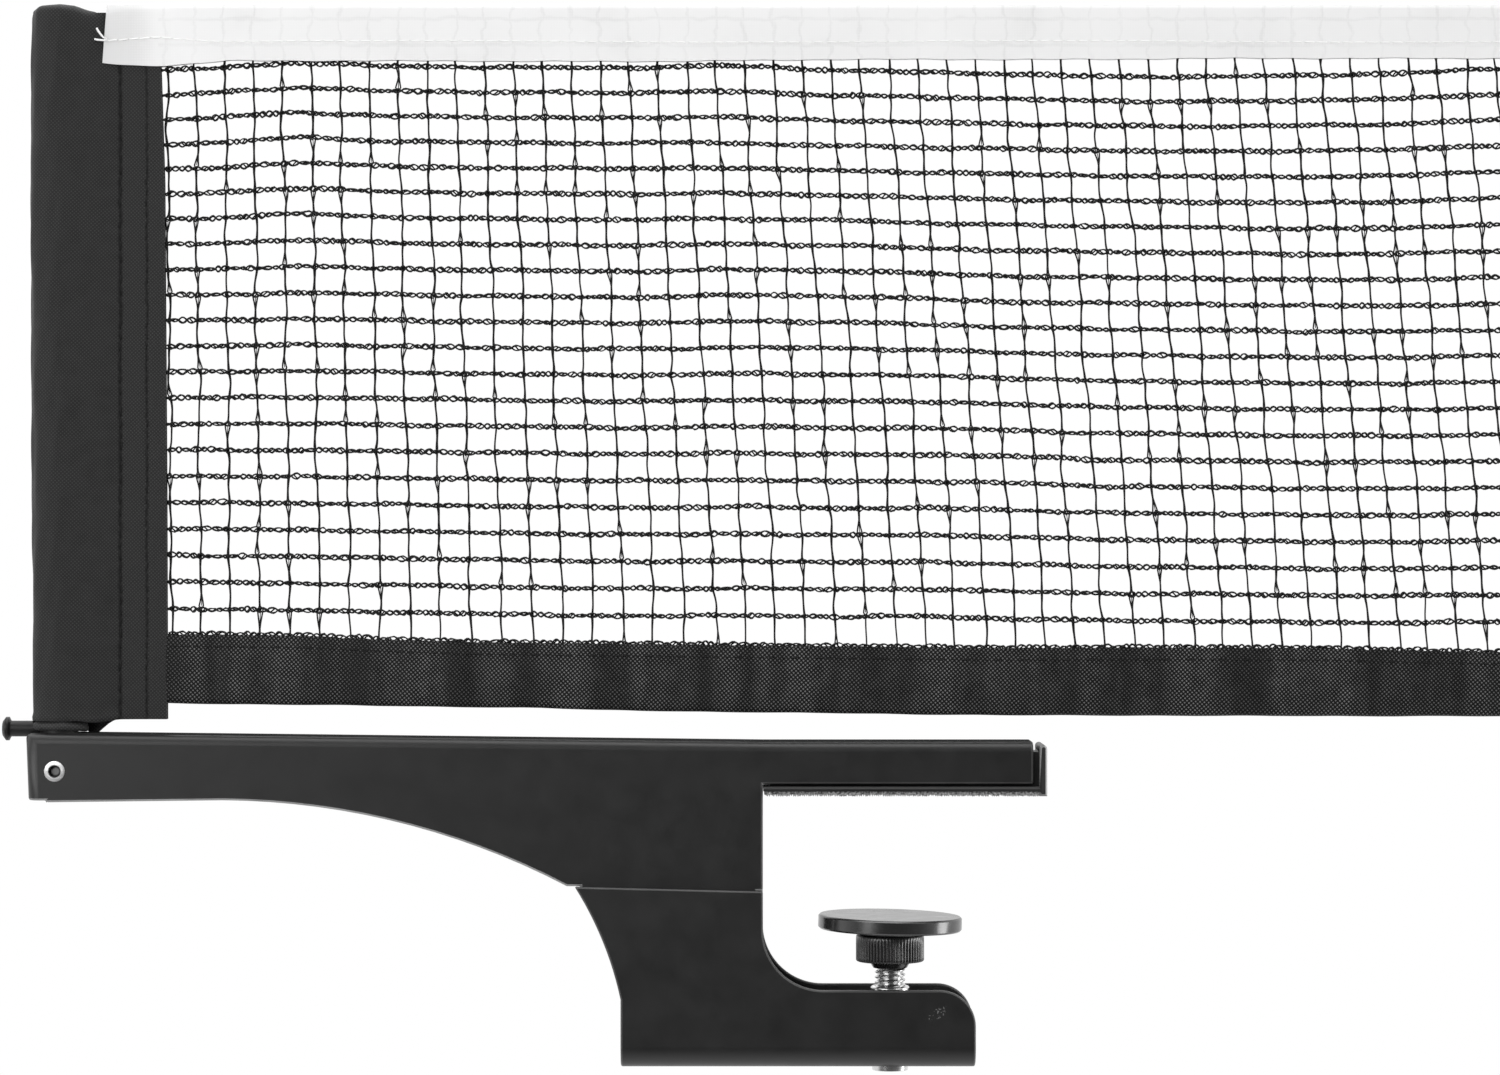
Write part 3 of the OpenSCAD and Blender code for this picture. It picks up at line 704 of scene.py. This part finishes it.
def thumb_hub():
    """The moulded hub: fine shallow ribs that fade out upwards, and a plain cone below."""
    lo, hi = (np.array(c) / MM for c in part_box("thumb_hub"))
    bottom, top = lo[2], hi[2]
    ribs, per_rib, ribs_end = 60, 8, -32.45
    n = ribs * per_rib
    th = np.arange(n) * 2 * np.pi / n
    groove = 1 - np.abs(np.cos(th * ribs / 2))
    # height, radius and depth of the grooves
    profile = [(top, 2.6, 0), (top, 6.2, 0), (top - 0.12, 6.5, 0), (top - 0.4, 6.63, 0.02)]
    profile += [(z, 6.65, 0.03 + 0.17 * min(1.0, (top - z) / 2.4))
                for z in np.linspace(top - 0.9, ribs_end + 0.35, 10)]
    profile += [(ribs_end + 0.15, 6.55, 0.15), (ribs_end + 0.03, 6.35, 0.07), (ribs_end, 6.1, 0)]
    profile += [(ribs_end, 4.1, 0), (ribs_end - 0.1, 3.92, 0), (-33.0, 3.7, 0), (-33.5, 3.42, 0),
                (-33.66, 3.32, 0), (bottom, 3.2, 0), (bottom, 2.9, 0)]
    verts = []
    for z, r, depth in profile:
        radii = r - depth * groove
        verts.append(np.stack([radii * np.cos(th), radii * np.sin(th), np.full(n, z)], -1))
    faces = ring_faces(len(profile), n, wrap=True)
    o = mesh("ribbed_hub", np.concatenate(verts), faces, hub_black, "screw", 50)
    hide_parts("thumb_hub")


thumb_hub()

# ---- grip pad with fine teeth ----


def grip_pad():
    """The pad with uneven teeth across its lower face, a little shorter at the front and the back."""
    lo, hi = (np.array(c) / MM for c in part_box("jaw_pad"))
    pitch, depth = 0.42, 0.2
    n = int((hi[0] - lo[0]) / pitch)
    tooth = (hi[0] - lo[0]) / n
    g = np.random.default_rng(77)
    xs, zs = [], []
    for i in range(n + 1):
        x = lo[0] + (hi[0] - lo[0]) * i / n
        xs.append(x)
        zs.append(lo[2] + depth * g.uniform(0.8, 2.6))
        if i < n:
            xs.append(x + g.uniform(0.3, 0.7) * tooth)
            zs.append(lo[2] + depth * max(0.0, g.normal(0.2, 0.5)))
    m = len(xs)
    verts, faces = [], []
    for y, cut in ((lo[1], 0.12), (lo[1] + 0.15, 0), (hi[1] - 0.15, 0), (hi[1], 0.12)):
        verts += [(x, y, z + cut) for x, z in zip(xs, zs)]
    top = len(verts)
    for y in (lo[1], hi[1]):
        verts += [(x, y, hi[2]) for x in xs]
    for row in range(3):
        for i in range(m - 1):
            a = row * m + i
            faces.append([a, a + m, a + m + 1, a + 1])
    for i in range(m - 1):
        faces.append([top + i, top + i + 1, top + m + i + 1, top + m + i])
        faces.append([i, i + 1, top + i + 1, top + i])
        faces.append([3 * m + i, top + m + i, top + m + i + 1, 3 * m + i + 1])
    faces.append([0, top, top + m, 3 * m, 2 * m, m])
    faces.append([m - 1, 2 * m - 1, 3 * m - 1, 4 * m - 1, top + 2 * m - 1, top + m - 1])
    o = mesh("grip_pad", verts, faces, grip_grey, "clamp_frame", 30)
    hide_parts("jaw_pad")


grip_pad()

# ---- net: where its rows and columns lie ----

ROWS = range(-2, 22)    # those below 0 are inside the tape
LAST_ROW = 22           # the loops along the hem's top edge
COLS = range(0, 49)
ROW_Y, COL_Y = -0.2, 0.2
ROW_START, COL_START = -148.5, -143.5       # both inside the sleeve's flange
FLANGE_EDGE = -142.0                        # up to here a row lies flat inside it
ROW_STRAND_R, ROW_THIRD_R, KNOT_R = 0.20, 0.15, 0.13
COL_STRAND_R, COL_THIRD_R = 0.165, 0.09

# How far the rows lie above the curves of row_z in photo pixels: a list over ROW_KNOTS for each of ROW_PX
ROW_KNOTS = [0, 3, 6, 9, 12, 15, 21]
ROW_PX = [200, 300, 380, 480, 680, 760, 840, 920, 1000, 1100, 1200, 1300, 1400, 1490]
ROW_OFF = [[-0.5, -1, -1, -1, -1, -1, -1],
           [3.5, 3.5, 3, 0, 0, -1, -1],
           [-1] * 7,
           [-2.5, -2.5, -2.5, -2.5, -2, -1.5, -1.5],
           [-2.5, -2.5, -2.5, -2.5, -2, -1.5, -1.5],
           [-1, -3, -1.5, 0.5, 0.5, 0.5, 0.5],
           [-1, -1, 1, 2, 2, 1, 0],
           [-1, -1, -0.5, 1, 2, 2, 2],
           [-1, -1, -1, -1, 1, 2, 0],
           [-2, -1, -1, -1, -1, -1, -1],
           [-1] * 7,
           [1, 0.5, -2, -2, -2, -2, -2],
           [2.7, 1.5, -1, -2, -2, -2, -2],
           [6.2, 4.6, 1.5, -1, -1, -1, -1]]


def row_z(i, x):
    """Height of row i's middle: evenly opening rows with a slow sag and a low crest.

    u runs from -1 to 1 across the net and v from -1 to 1 down it, and y is in photo pixels."""
    px = px_of(x)
    u = (px - 832) / 660
    v = (i - 10.5) / 10.5
    y = 339.3 + 272.8 * v + 4.0 * (1.5 * v * v - 0.5)
    y = y + 6.9 * u + (-2.2 + 2.0 * v) * (2.5 * u ** 3 - 1.5 * u) - 1.9 * v * (1.5 * u * u - 0.5)
    y = y - 3.2 * np.exp(-((u + 0.17) / 0.11) ** 2) * (0.6 - 0.4 * v)
    y = y + 0.9 * soft_noise(x, 40 + i, (37.0, 19.0, 11.0))
    off = [np.interp(i, ROW_KNOTS, column) for column in ROW_OFF]
    return z_of(y - np.interp(px, ROW_PX, off))


def col_x(j, i):
    """Where column j crosses row i: nearly upright by the post, and leaning further with each column."""
    top_px = 166.4 + 28.88 * j
    u = max(0.0, (top_px - 195) / 1153)
    lean = 5 + 44 * (1 - math.exp(-((u / 0.55) ** 1.5)))
    g = np.random.default_rng(5000 + 60 * j + i)
    wobble = 1.3 * float(soft_noise(i, 900 + j, (9.0, 5.0)))
    return x_of(top_px + lean * (i + 0.5) / 20.5 + wobble + g.normal(0, 0.55))


def hem_line(x):
    """Height of the hem's top before its waves: it falls evenly away from the post."""
    return 30.4 - 3.0 * (np.asarray(x, float) - NET_START) / 265


def hem_top(x):
    rise = np.interp(px_of(x), [168, 300, 380, 480, 1000, 1140, 1320, 1440, 1520],
                     [0.9, 0.9, 0.35, 0, 0, 0.45, 0.7, 0.4, 0.35])
    return hem_line(x) + rise


def hem_foot(x):
    drop = np.interp(px_of(x), [168, 540, 600, 780, 1020, 1200, 1320, 1450, 1520],
                     [0, 0.1, 0.4, 0.5, 0.5, 0.15, 0, -0.35, -0.35])
    return hem_line(x) - 12.35 - drop


def knitted_row(i, g):
    """A row's two strands, which cross from loop to loop, and the thin one that winds between them."""
    over, under, winding = [], [], []
    x = ROW_START if i in ROWS else NET_START + 0.4
    k = 0
    phase = g.uniform(0, 6)
    while x < NET_END:
        length = g.uniform(1.0, 2.3)
        swell = g.uniform(0.26, 0.56)
        if x < FLANGE_EDGE or i < 0:
            swell = 0.16        # flat, inside the sleeve's flange or the tape
        side = 1 if k % 2 else -1
        for s in np.linspace(0, 1, 6)[:-1]:
            at = x + s * length
            if at > NET_END:
                break
            if i in ROWS:
                z = row_z(i, at)
            else:
                z = float(hem_top(at)) + 0.12 + 0.14 * math.sin(at * 0.9) * math.sin(at * 0.23)
            bow = side * swell * math.sin(math.pi * s) ** 0.8
            depth = 0.16 * math.cos(math.pi * (s + k))
            over.append((at, ROW_Y + depth, z + bow))
            under.append((at, ROW_Y - depth, z - bow * g.uniform(0.85, 1.1)))
            angle = at * 2.9 + phase
            rise = swell * 0.75 * math.sin(angle + 0.9 * math.sin(at * 0.7))
            winding.append((at, ROW_Y + 0.2 * math.cos(angle), z + rise))
        x += length
        k += 1
    return over, under, winding


def knot(i, x, g):
    """The loop at x that ties a column to row i."""
    a = np.linspace(0, 2 * np.pi, 9)
    wide, high = g.uniform(0.16, 0.3), g.uniform(0.4, 0.6)
    return np.stack([x + wide * np.cos(a) + 0.08 * np.sin(a), ROW_Y + 0.28 * np.sin(a + 0.6),
                     float(row_z(i, x)) + high * np.sin(a)], -1)


def net_rows():
    """The rows, and the knots where columns cross them."""
    thick, thin = [], []
    for i in [*ROWS, LAST_ROW]:
        g = np.random.default_rng(300 + i)
        over, under, winding = knitted_row(i, g)
        r = ROW_STRAND_R + 0.035 * g.normal(size=len(over))
        thick.append((over, np.clip(r, 0.12, 0.24)))
        thick.append((under, np.clip(r[::-1], 0.12, 0.24)))
        thin.append((winding, ROW_THIRD_R))
    for i in range(0, LAST_ROW):
        for j in COLS:
            x = col_x(j, i)
            if NET_START - 0.6 < x < NET_END - 0.8:
                thick.append((knot(i, x, np.random.default_rng(9000 + 60 * i + j)), KNOT_R))
    v1, f1 = strands(thick)
    v2, f2 = strands(thin, 4)
    f2 = [[q + len(v1) for q in f] for f in f2]
    o = mesh("knitted_rows", np.concatenate([v1, v2]), f1 + f2, thread_black, "net")
    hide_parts("net_rows")


def net_columns():
    """Each column is two strands side by side. Some part at a knot, round a thin third one."""
    items = []
    for j in COLS:
        g = np.random.default_rng(7000 + j)
        left, right, third, thirds = [], [], [], []
        for i in ROWS:
            x0, x1 = col_x(j, i), col_x(j, i + 1)
            z0 = float(row_z(i, x0))
            z1 = float(row_z(i + 1, x1)) if i + 1 in ROWS else float(hem_top(x1)) - 1.5
            bow = g.normal(0, 0.13)
            kink = 0.06 * math.sin(i * 2.1 + j)
            gap = abs(g.normal(0.085, 0.03))
            parted = g.random() < 0.22
            at_top = g.random() < 0.5
            for s in np.linspace(0, 1, 8)[:-1]:
                bend = bow * math.sin(math.pi * s) + kink * math.sin(2 * math.pi * s)
                x = x0 + (x1 - x0) * s + bend
                y = COL_Y + 0.05 * math.sin(i + s * 3)
                z = z0 + (z1 - z0) * s
                far = (1 - s if at_top else s) if parted else 0.0
                half = gap * (0.75 + 0.35 * math.cos(2 * math.pi * s))
                half += 0.42 * max(0.0, far - 0.45) / 0.55
                left.append((x - half, y - 0.03, z))
                right.append((x + half, y + 0.03, z))
                if far > 0.4:
                    third.append((x + 0.1 * half, y, z))
                elif third:
                    thirds.append(third)
                    third = []
        lines = [(left, COL_STRAND_R), (right, COL_STRAND_R)] + [(line, COL_THIRD_R) for line in thirds]
        for line, r in lines:
            p = np.array(line)
            p = p[(p[:, 0] < NET_END) & (p[:, 0] > COL_START)]
            if len(p) > 2:
                items.append((p, r))
    v, f = strands(items)
    o = mesh("net_uprights", v, f, thread_black, "net")
    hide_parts("net_columns")


net_rows()
net_columns()

# ---- sleeve ----

SLEEVE_R = 4.30             # of the cloth's middle, round the post
SLEEVE_FOOT = 14.85         # height of the sleeve's foot in the tables of its bumps
FLANGE_HALF = 0.72          # of the cloth's middle from the net's plane
FLANGE_END, FLANGE_SEAM = 21.0, 12.0    # from the post's axis


def mirrored(points):
    """The same points behind the net, last to first."""
    return [(x, -y) for x, y in points][::-1]


def sleeve_plan():
    """The cloth's middle in plan, open at the flange: from its front end round the post to its back end."""
    a = math.acos((SLEEVE_R - FLANGE_HALF) / FLANGE_SEAM)
    flange = [(x, -FLANGE_HALF) for x in np.linspace(FLANGE_END, FLANGE_SEAM, 16)[:-1]]
    start = np.array((FLANGE_SEAM + FLANGE_HALF * math.cos(a), -FLANGE_HALF * math.sin(a)))
    end = np.array((SLEEVE_R * math.cos(a), -SLEEVE_R * math.sin(a)))
    web = [tuple(start + (end - start) * s) for s in np.linspace(0, 1, 12)[:-1]]
    turns = np.linspace(-a, a - 2 * math.pi, 64)
    arc = [(SLEEVE_R * math.cos(t), SLEEVE_R * math.sin(t)) for t in turns]
    return smooth_line(np.array(flange + web + arc + mirrored(flange + web)), 2)


def foot_cuff():
    """The sleeve's rolled foot, which the peg holds: a roll of cloth round the post, open at the peg."""
    on_post, roll_top = 3.92, 14.32     # the cloth's least radius, and the roll's height
    grid = []
    for a in np.radians(np.linspace(199, 360 + 161, 76)):
        left = max(0.0, -math.cos(a)) ** 1.4
        right = max(0.0, math.cos(a)) ** 3
        outer = 4.62 + 0.66 * left + 0.95 * right
        outer += 0.07 * math.sin(3 * a + 1) + 0.04 * math.sin(7 * a)
        fat = 0.87 + 0.07 * right + 0.02 * math.sin(5 * a)
        lift = 0.025 * math.sin(9 * a)
        mid_r, mid_z = outer - fat, roll_top - fat
        ring = [(3.90, 15.6), (3.90, 15.1), (3.91, 14.7), (3.95, 14.48), (4.05, mid_z + fat * 0.98)]
        for q in np.linspace(90, -420, 26):
            r = fat - 0.22 * fat * (90 - q) / 255
            dx, dz = r * math.cos(math.radians(q)), r * math.sin(math.radians(q))
            low = right * max(0.0, -math.sin(math.radians(q))) * (q > -180)
            ring.append((max(mid_r + dx, on_post) + 0.5 * low, mid_z + dz + lift - 0.20 * low))
        ring = smooth_line(np.array(ring), 1)
        grid.append([(POST_X + r * math.cos(a), r * math.sin(a), z) for r, z in ring])
    v, f = slab(np.array(grid), 0.16)
    o = mesh("sleeve_foot_roll", v, f, roll_nylon_painted_light, "net_post", 60)
    return o


def bump_at(x, middle, width):
    return np.exp(-((x - middle) / width) ** 2)


def flange_stitches():
    """Two lines of stitches down the flange, front and back, which wander a little."""
    items = []
    for x0, half, fat in ((-149.9, 0.98, 0.14), (-144.8, 0.86, 0.12)):
        z = 15.6
        while z < 141.5:
            x1, x2 = (x0 + 0.14 * math.sin(q * 0.21) + 0.07 * math.sin(q * 1.3) for q in (z, z + 1.8))
            for side in (-1, 1):
                inside, outside = side * (half - 0.12), side * (half + 0.04)
                items.append(([(x1, inside, z), (x1, outside, z + 0.4), (x2, outside, z + 1.4),
                               (x2, inside, z + 1.8)], fat))
            z += 2.15
    v, f = strands(items)
    s = mesh("sleeve_stitches", v, f, thread_black, "net")


def sleeve():
    """The sleeve's cloth round the post and back along the flange, closed over the post's top."""
    plan = sleeve_plan()
    x, y = plan[:, 0], plan[:, 1]
    along = np.gradient(plan, axis=0)
    along /= np.linalg.norm(along, axis=1)[:, None]
    out = np.stack([-along[:, 1], along[:, 0]], -1)
    length = np.concatenate([[0], np.cumsum(np.linalg.norm(np.diff(plan, axis=0), axis=1))])
    az = np.degrees(np.arctan2(y, x))
    outward = np.clip(-np.cos(np.radians(az)), 0, 1) ** 1.4 * (x < 4)   # 1 on the side away from the net
    loose = np.clip((12.5 - x) / 3, 0, 1)                               # 0 on the flange
    top = np.interp(x, [-4.4, -4.0, -3.0, 0.4, 3.4, 5.9, 8.0, 21],
                    [152.5, 153.15, 153.6, 153.85, 153.55, 152.7, 152.3, 152.3])
    front_foot = np.interp(x, [-6, 4.8, 5.8, 7.5, 9.5, 11.5, 21],
                           [14.56, 14.56, 14.25, 14.2, 14.45, 14.75, 14.75])
    back_foot = np.interp(x, [-6, 3.9, 4.8, 7.4, 8.0, 9.2, 10.8, 21],
                          [14.56, 14.56, 12.20, 12.17, 12.8, 13.8, 14.75, 14.75])
    foot = np.where(y < 0, front_foot, back_foot)
    furrows = 0.13 * bump_at(x, 12.1, 0.45) + 0.10 * bump_at(x, 17.2, 0.4)
    full = 136.6            # the walls' height, before they round over
    heights = np.concatenate([[0, 0.3, 0.6, 0.9], np.linspace(1.5, full, 132)])
    layers = []
    for up in heights:
        z = foot + (top - 1.4 - foot) * up / full
        fold = 0.10 * soft_noise(z + az * 0.25, 1, (31.0, 17.0))
        fold = fold + 0.07 * soft_noise(z * 0.35 + length * 2.2, 2, (13.0, 7.0))
        crease = 0.30 * bump_at(length, 27 + 0.6 * np.sin(z / 14), 0.9)
        crease = crease + 0.16 * bump_at(length, 31.5 - 0.4 * np.sin(z / 9), 0.7)
        pucker = 0.09 * bump_at(x, 11.0, 2.6) * np.sin(2 * np.pi * z / 3.1 + 2 * np.sin(z / 7))
        d = np.clip(loose * (0.14 + fold * 1.2 - crease * 0.7) + pucker, -0.12, 0.45) - furrows
        d = d + outward * np.interp(up + SLEEVE_FOOT, [14, 16, 30, 60, 70, 95, 112, 124, 142, 150, 154],
                                    [0.62, 0.5, 0.52, 0.62, 0.78, 0.82, 1.0, 1.0, 0.75, 0.55, 0.45])
        d = d + 0.16 * max(0.0, 1 - abs(up - 0.6) / 0.9) * loose        # the foot's hem
        pull = np.interp(up + SLEEVE_FOOT, [12, 60, 120, 142], [0.15, 0.0, -0.4, -1.1])
        pull = pull * np.clip((x - 13) / 8, 0, 1)
        layers.append(np.stack([POST_X + x + out[:, 0] * d + pull, y + out[:, 1] * d, z], -1))
    last = layers[-1]
    for turn in np.linspace(0, math.pi / 2, 7)[1:]:
        closed = last[:, 1] * (0.10 + 0.90 * math.cos(turn))
        drawn_in = POST_X + (last[:, 0] - POST_X) * (1 - 0.05 * math.sin(turn) * loose)
        raised = last[:, 2] + 1.35 * math.sin(turn)
        layers.append(np.stack([drawn_in, np.where(x > 8, last[:, 1], closed), raised], -1))
    v, f = slab(np.stack(layers, 1), 0.46)
    o = mesh("sleeve_cloth", v, f, sleeve_nylon, "net", 40)
    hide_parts("net_sleeve")
    flange_stitches()
    cuff = foot_cuff()


sleeve()

# ---- tape over the top edge ----

HALF_TURN = np.linspace(0, math.pi, 9)[1:-1]    # round a fold, between its two plies
TAPE_START = -152.55
TAPE_FOLD = 153.75          # height of the cloth's middle at the fold
TAPE_SEAM = 146.7


def tape_half(x):
    """Half width of the tape's middle at x: round the sleeve's web, then over the flange, then the net."""
    return np.interp(x, [-153.4, -152.2, -151, -149.8, -148.5, -147, -142.4, -141.4, -140.2, -139.2],
                     [2.45, 2.05, 1.68, 1.38, 1.24, 1.20, 1.16, 1.04, 0.78, 0.68])


def tape_foot(x):
    """Height of the tape's lower edge: lowest over the sleeve, and drawn up over the net."""
    return 142.05 + np.interp(px_of(x), [165, 230, 450, 520, 680, 760, 840, 1100, 1200, 1480],
                              [0, 1.02, 1.02, 0.92, 0.92, 1.12, 1.31, 1.31, 1.51, 1.51])


def tape_fullness(x):
    """0 where the tape starts, and 1 from the net on."""
    return ramp_up(x, -150.5, 8.0)


def tape_sway(x):
    """How far the tape waves to and fro."""
    return 0.16 * float(soft_noise(x, 21, (46.0, 23.0, 12.0)))


def stitch(x, y, side, zs, steps, dip, lift):
    """A stitch along x on the front (side -1) or the back (1), whose ends dip into the cloth."""
    inside, outside = y - side * dip, y + side * lift
    return [(x, inside, zs[0]), (x + steps[0], outside, zs[0]),
            (x + steps[1], outside, zs[1]), (x + steps[2], inside, zs[1])]


def tape_stitches():
    """Stitches along the tape, front and back, thicker and closer over the sleeve."""
    items = []
    x = TAPE_START + 0.15
    while x < LAST_STITCH:
        on_sleeve = x < -141.5
        over = float(tape_half(x + 0.7)) + 0.13 * tape_fullness(x) + (0.32 if on_sleeve else 0.26)
        zs = [TAPE_SEAM + 0.05 + 0.15 * math.sin(q * 0.05) + 0.9 * max(0.0, 1 - abs(q + 143) / 12)
              for q in (x, x + 1.95)]
        fat = 0.15 if on_sleeve else 0.10
        for side in (-1, 1):
            y = side * over + tape_sway(x + 0.7) * 0.9
            items.append((stitch(x, y, side, zs, (0.45, 1.5, 1.95), 0.1, 0.03), fat))
        x += 2.1 if on_sleeve else 2.45
    # the seam's two loose ends, over the sleeve
    items.append(([(-152.3, -2.75, 147.1), (-152.9, -3.1, 147.3), (-153.5, -3.3, 148.0),
                   (-153.9, -3.35, 148.6), (-154.2, -3.45, 149.1)], [0.16, 0.2, 0.22, 0.24, 0.2]))
    items.append(([(-152.3, -2.75, 146.9), (-152.9, -3.1, 146.75), (-153.6, -3.3, 146.8),
                   (-154.2, -3.4, 146.85), (-154.6, -3.5, 146.95)], [0.16, 0.2, 0.2, 0.22, 0.2]))
    v, f = strands(items)
    s = mesh("tape_stitches", v, f, thread_white, "net")


def tape():
    """White tape folded over the net's top edge, puckered along its seam."""
    down = np.linspace(0, 1, 26)
    grid = []
    for x in np.concatenate([np.linspace(TAPE_START, -139, 44), np.linspace(-138.4, NET_END, 330)]):
        half = float(tape_half(x))
        shoulder = TAPE_FOLD - half * 0.9
        foot = float(tape_foot(x)) + 0.12 * float(soft_noise(x, 22, (31.0, 9.0)))
        foot += 0.45 * math.exp(-(x - TAPE_START + 0.05) / 2.2)
        lean = 0.7 * (ramp_up(x, TAPE_START, 1.5) - 1)
        sway = tape_sway(x)
        belly = 0.132 * tape_fullness(x)
        pucker = 0.05 * math.sin(2 * math.pi * x / 2.9)

        def ply(side, s):
            """A point of the front (-1) or the back ply (1), s of the way from its foot to its shoulder."""
            z = foot + (shoulder - foot) * s
            over = half + 0.02 + belly * math.sin(math.pi * s) + pucker * bump_at(z, TAPE_SEAM, 0.8)
            return (x + lean * (1 - s), side * over + sway * math.sin(math.pi * s), z)

        fold = [(x, -half * math.cos(t), shoulder + half * 0.9 * math.sin(t)) for t in HALF_TURN]
        grid.append([ply(-1, s) for s in down] + fold + [ply(1, s) for s in down[::-1]])
    v, f = slab(np.array(grid)[:, ::-1], 0.36)
    o = mesh("top_tape", v, f, tape_white, "net", 50)
    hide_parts("net_top_tape")


tape()
tape_stitches()

# ---- hem ----

HEM_HALF = 0.70             # of the cloth's middle from the net's plane


def hem_sway(x):
    """How far the hem waves to and fro."""
    waves = 0.34 * soft_noise(x, 33, (33.0, 15.0, 9.0)) + 0.10 * soft_noise(x, 34, (6.5, 4.6))
    return float(waves) * min(1.0, (x - NET_START) / 6)


def hem_stitches():
    """Stitches along the hem, front and back."""
    items = []
    x = NET_START + 0.7
    while x < LAST_STITCH:
        z = float(hem_top(x)) - 2.3
        for side in (-1, 1):
            y = side * (HEM_HALF + 0.30) + hem_sway(x + 0.6) * 0.5
            items.append((stitch(x, y, side, (z, z), (0.4, 1.2, 1.6), 0.1, 0.05), 0.10))
        x += 2.2
    v, f = strands(items)
    s = mesh("hem_stitches", v, f, thread_black, "net")


def hem():
    """A black band folded under the net's lower edge, whose foot waves more than its top."""
    up = np.linspace(0, 1, 22)
    grid = []
    for x in np.concatenate([np.linspace(NET_START, -138, 8), np.linspace(-137.4, NET_END, 400)]):
        top = float(hem_top(x)) + 0.15 * float(soft_noise(x, 31, (9.0, 5.7, 3.1)))
        foot = float(hem_foot(x)) + 0.08 * float(soft_noise(x, 32, (41.0, 17.0))) + HEM_HALF
        sway = hem_sway(x)

        def ply(side, s):
            """A point of the front (-1) or the back ply (1), s of the way from its foot to its top."""
            over = HEM_HALF + 0.12 * math.sin(math.pi * min(1, s * 1.1))
            return (x, side * over + sway * (1.0 - 0.6 * s), foot + (top - foot) * s)

        fold = [(x, sway - HEM_HALF * math.cos(t), foot - HEM_HALF * math.sin(t)) for t in HALF_TURN]
        grid.append([ply(-1, s) for s in up[::-1]] + fold + [ply(1, s) for s in up])
    v, f = slab(np.array(grid), 0.46)
    o = mesh("hem_band", v, f, hem_nylon, "net", 50)
    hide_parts("net_hem")


hem()
hem_stitches()

# ---- floor ----


def floor():
    """A pale floor that fades into the white background away from the object, and is white to gloss."""
    m = Look("floor_pale", 0.86, 0.8, 0.0, 0.2)
    m.into("Base Color", m.ramp(m.noise(m.place((3, 3, 3)), 1.0), (0.3, 0.85), (0.7, 0.88)))
    path = m.node("LightPath").outputs
    length = m.node("VectorMath", operation="LENGTH")
    m.feed(length.inputs[0], m.place((1, 1, 0)))
    faded = m.times(m.remap(length.outputs["Value"], 0.15, 1.35, 0.35, 1.0), path["Is Camera Ray"])
    to_back = m.xyz(m.place((1, 1, 1)))["Y"]
    strength = m.larger(m.remap(to_back, -0.7, 0.1, 0.08, 1.0), path["Is Camera Ray"])
    glow = m.node("Emission", Strength=strength).outputs[0]
    shown = m.shaders(m.larger(faded, path["Is Glossy Ray"]), m.shader.outputs[0], glow)
    m.feed(m.tree.nodes["Material Output"].inputs["Surface"], shown)
    half, z = 1.7, -0.35        # metres
    me = bpy.data.meshes.new("floor")
    corners = [(-half, -half, z), (half, -half, z), (half, half, z), (-half, half, z)]
    me.from_pydata(corners, [], [(0, 1, 2, 3)])
    me.materials.append(m.material)
    o = bpy.data.objects.new("floor", me)
    scene.collection.objects.link(o)


floor()

bpy.context.view_layer.update()
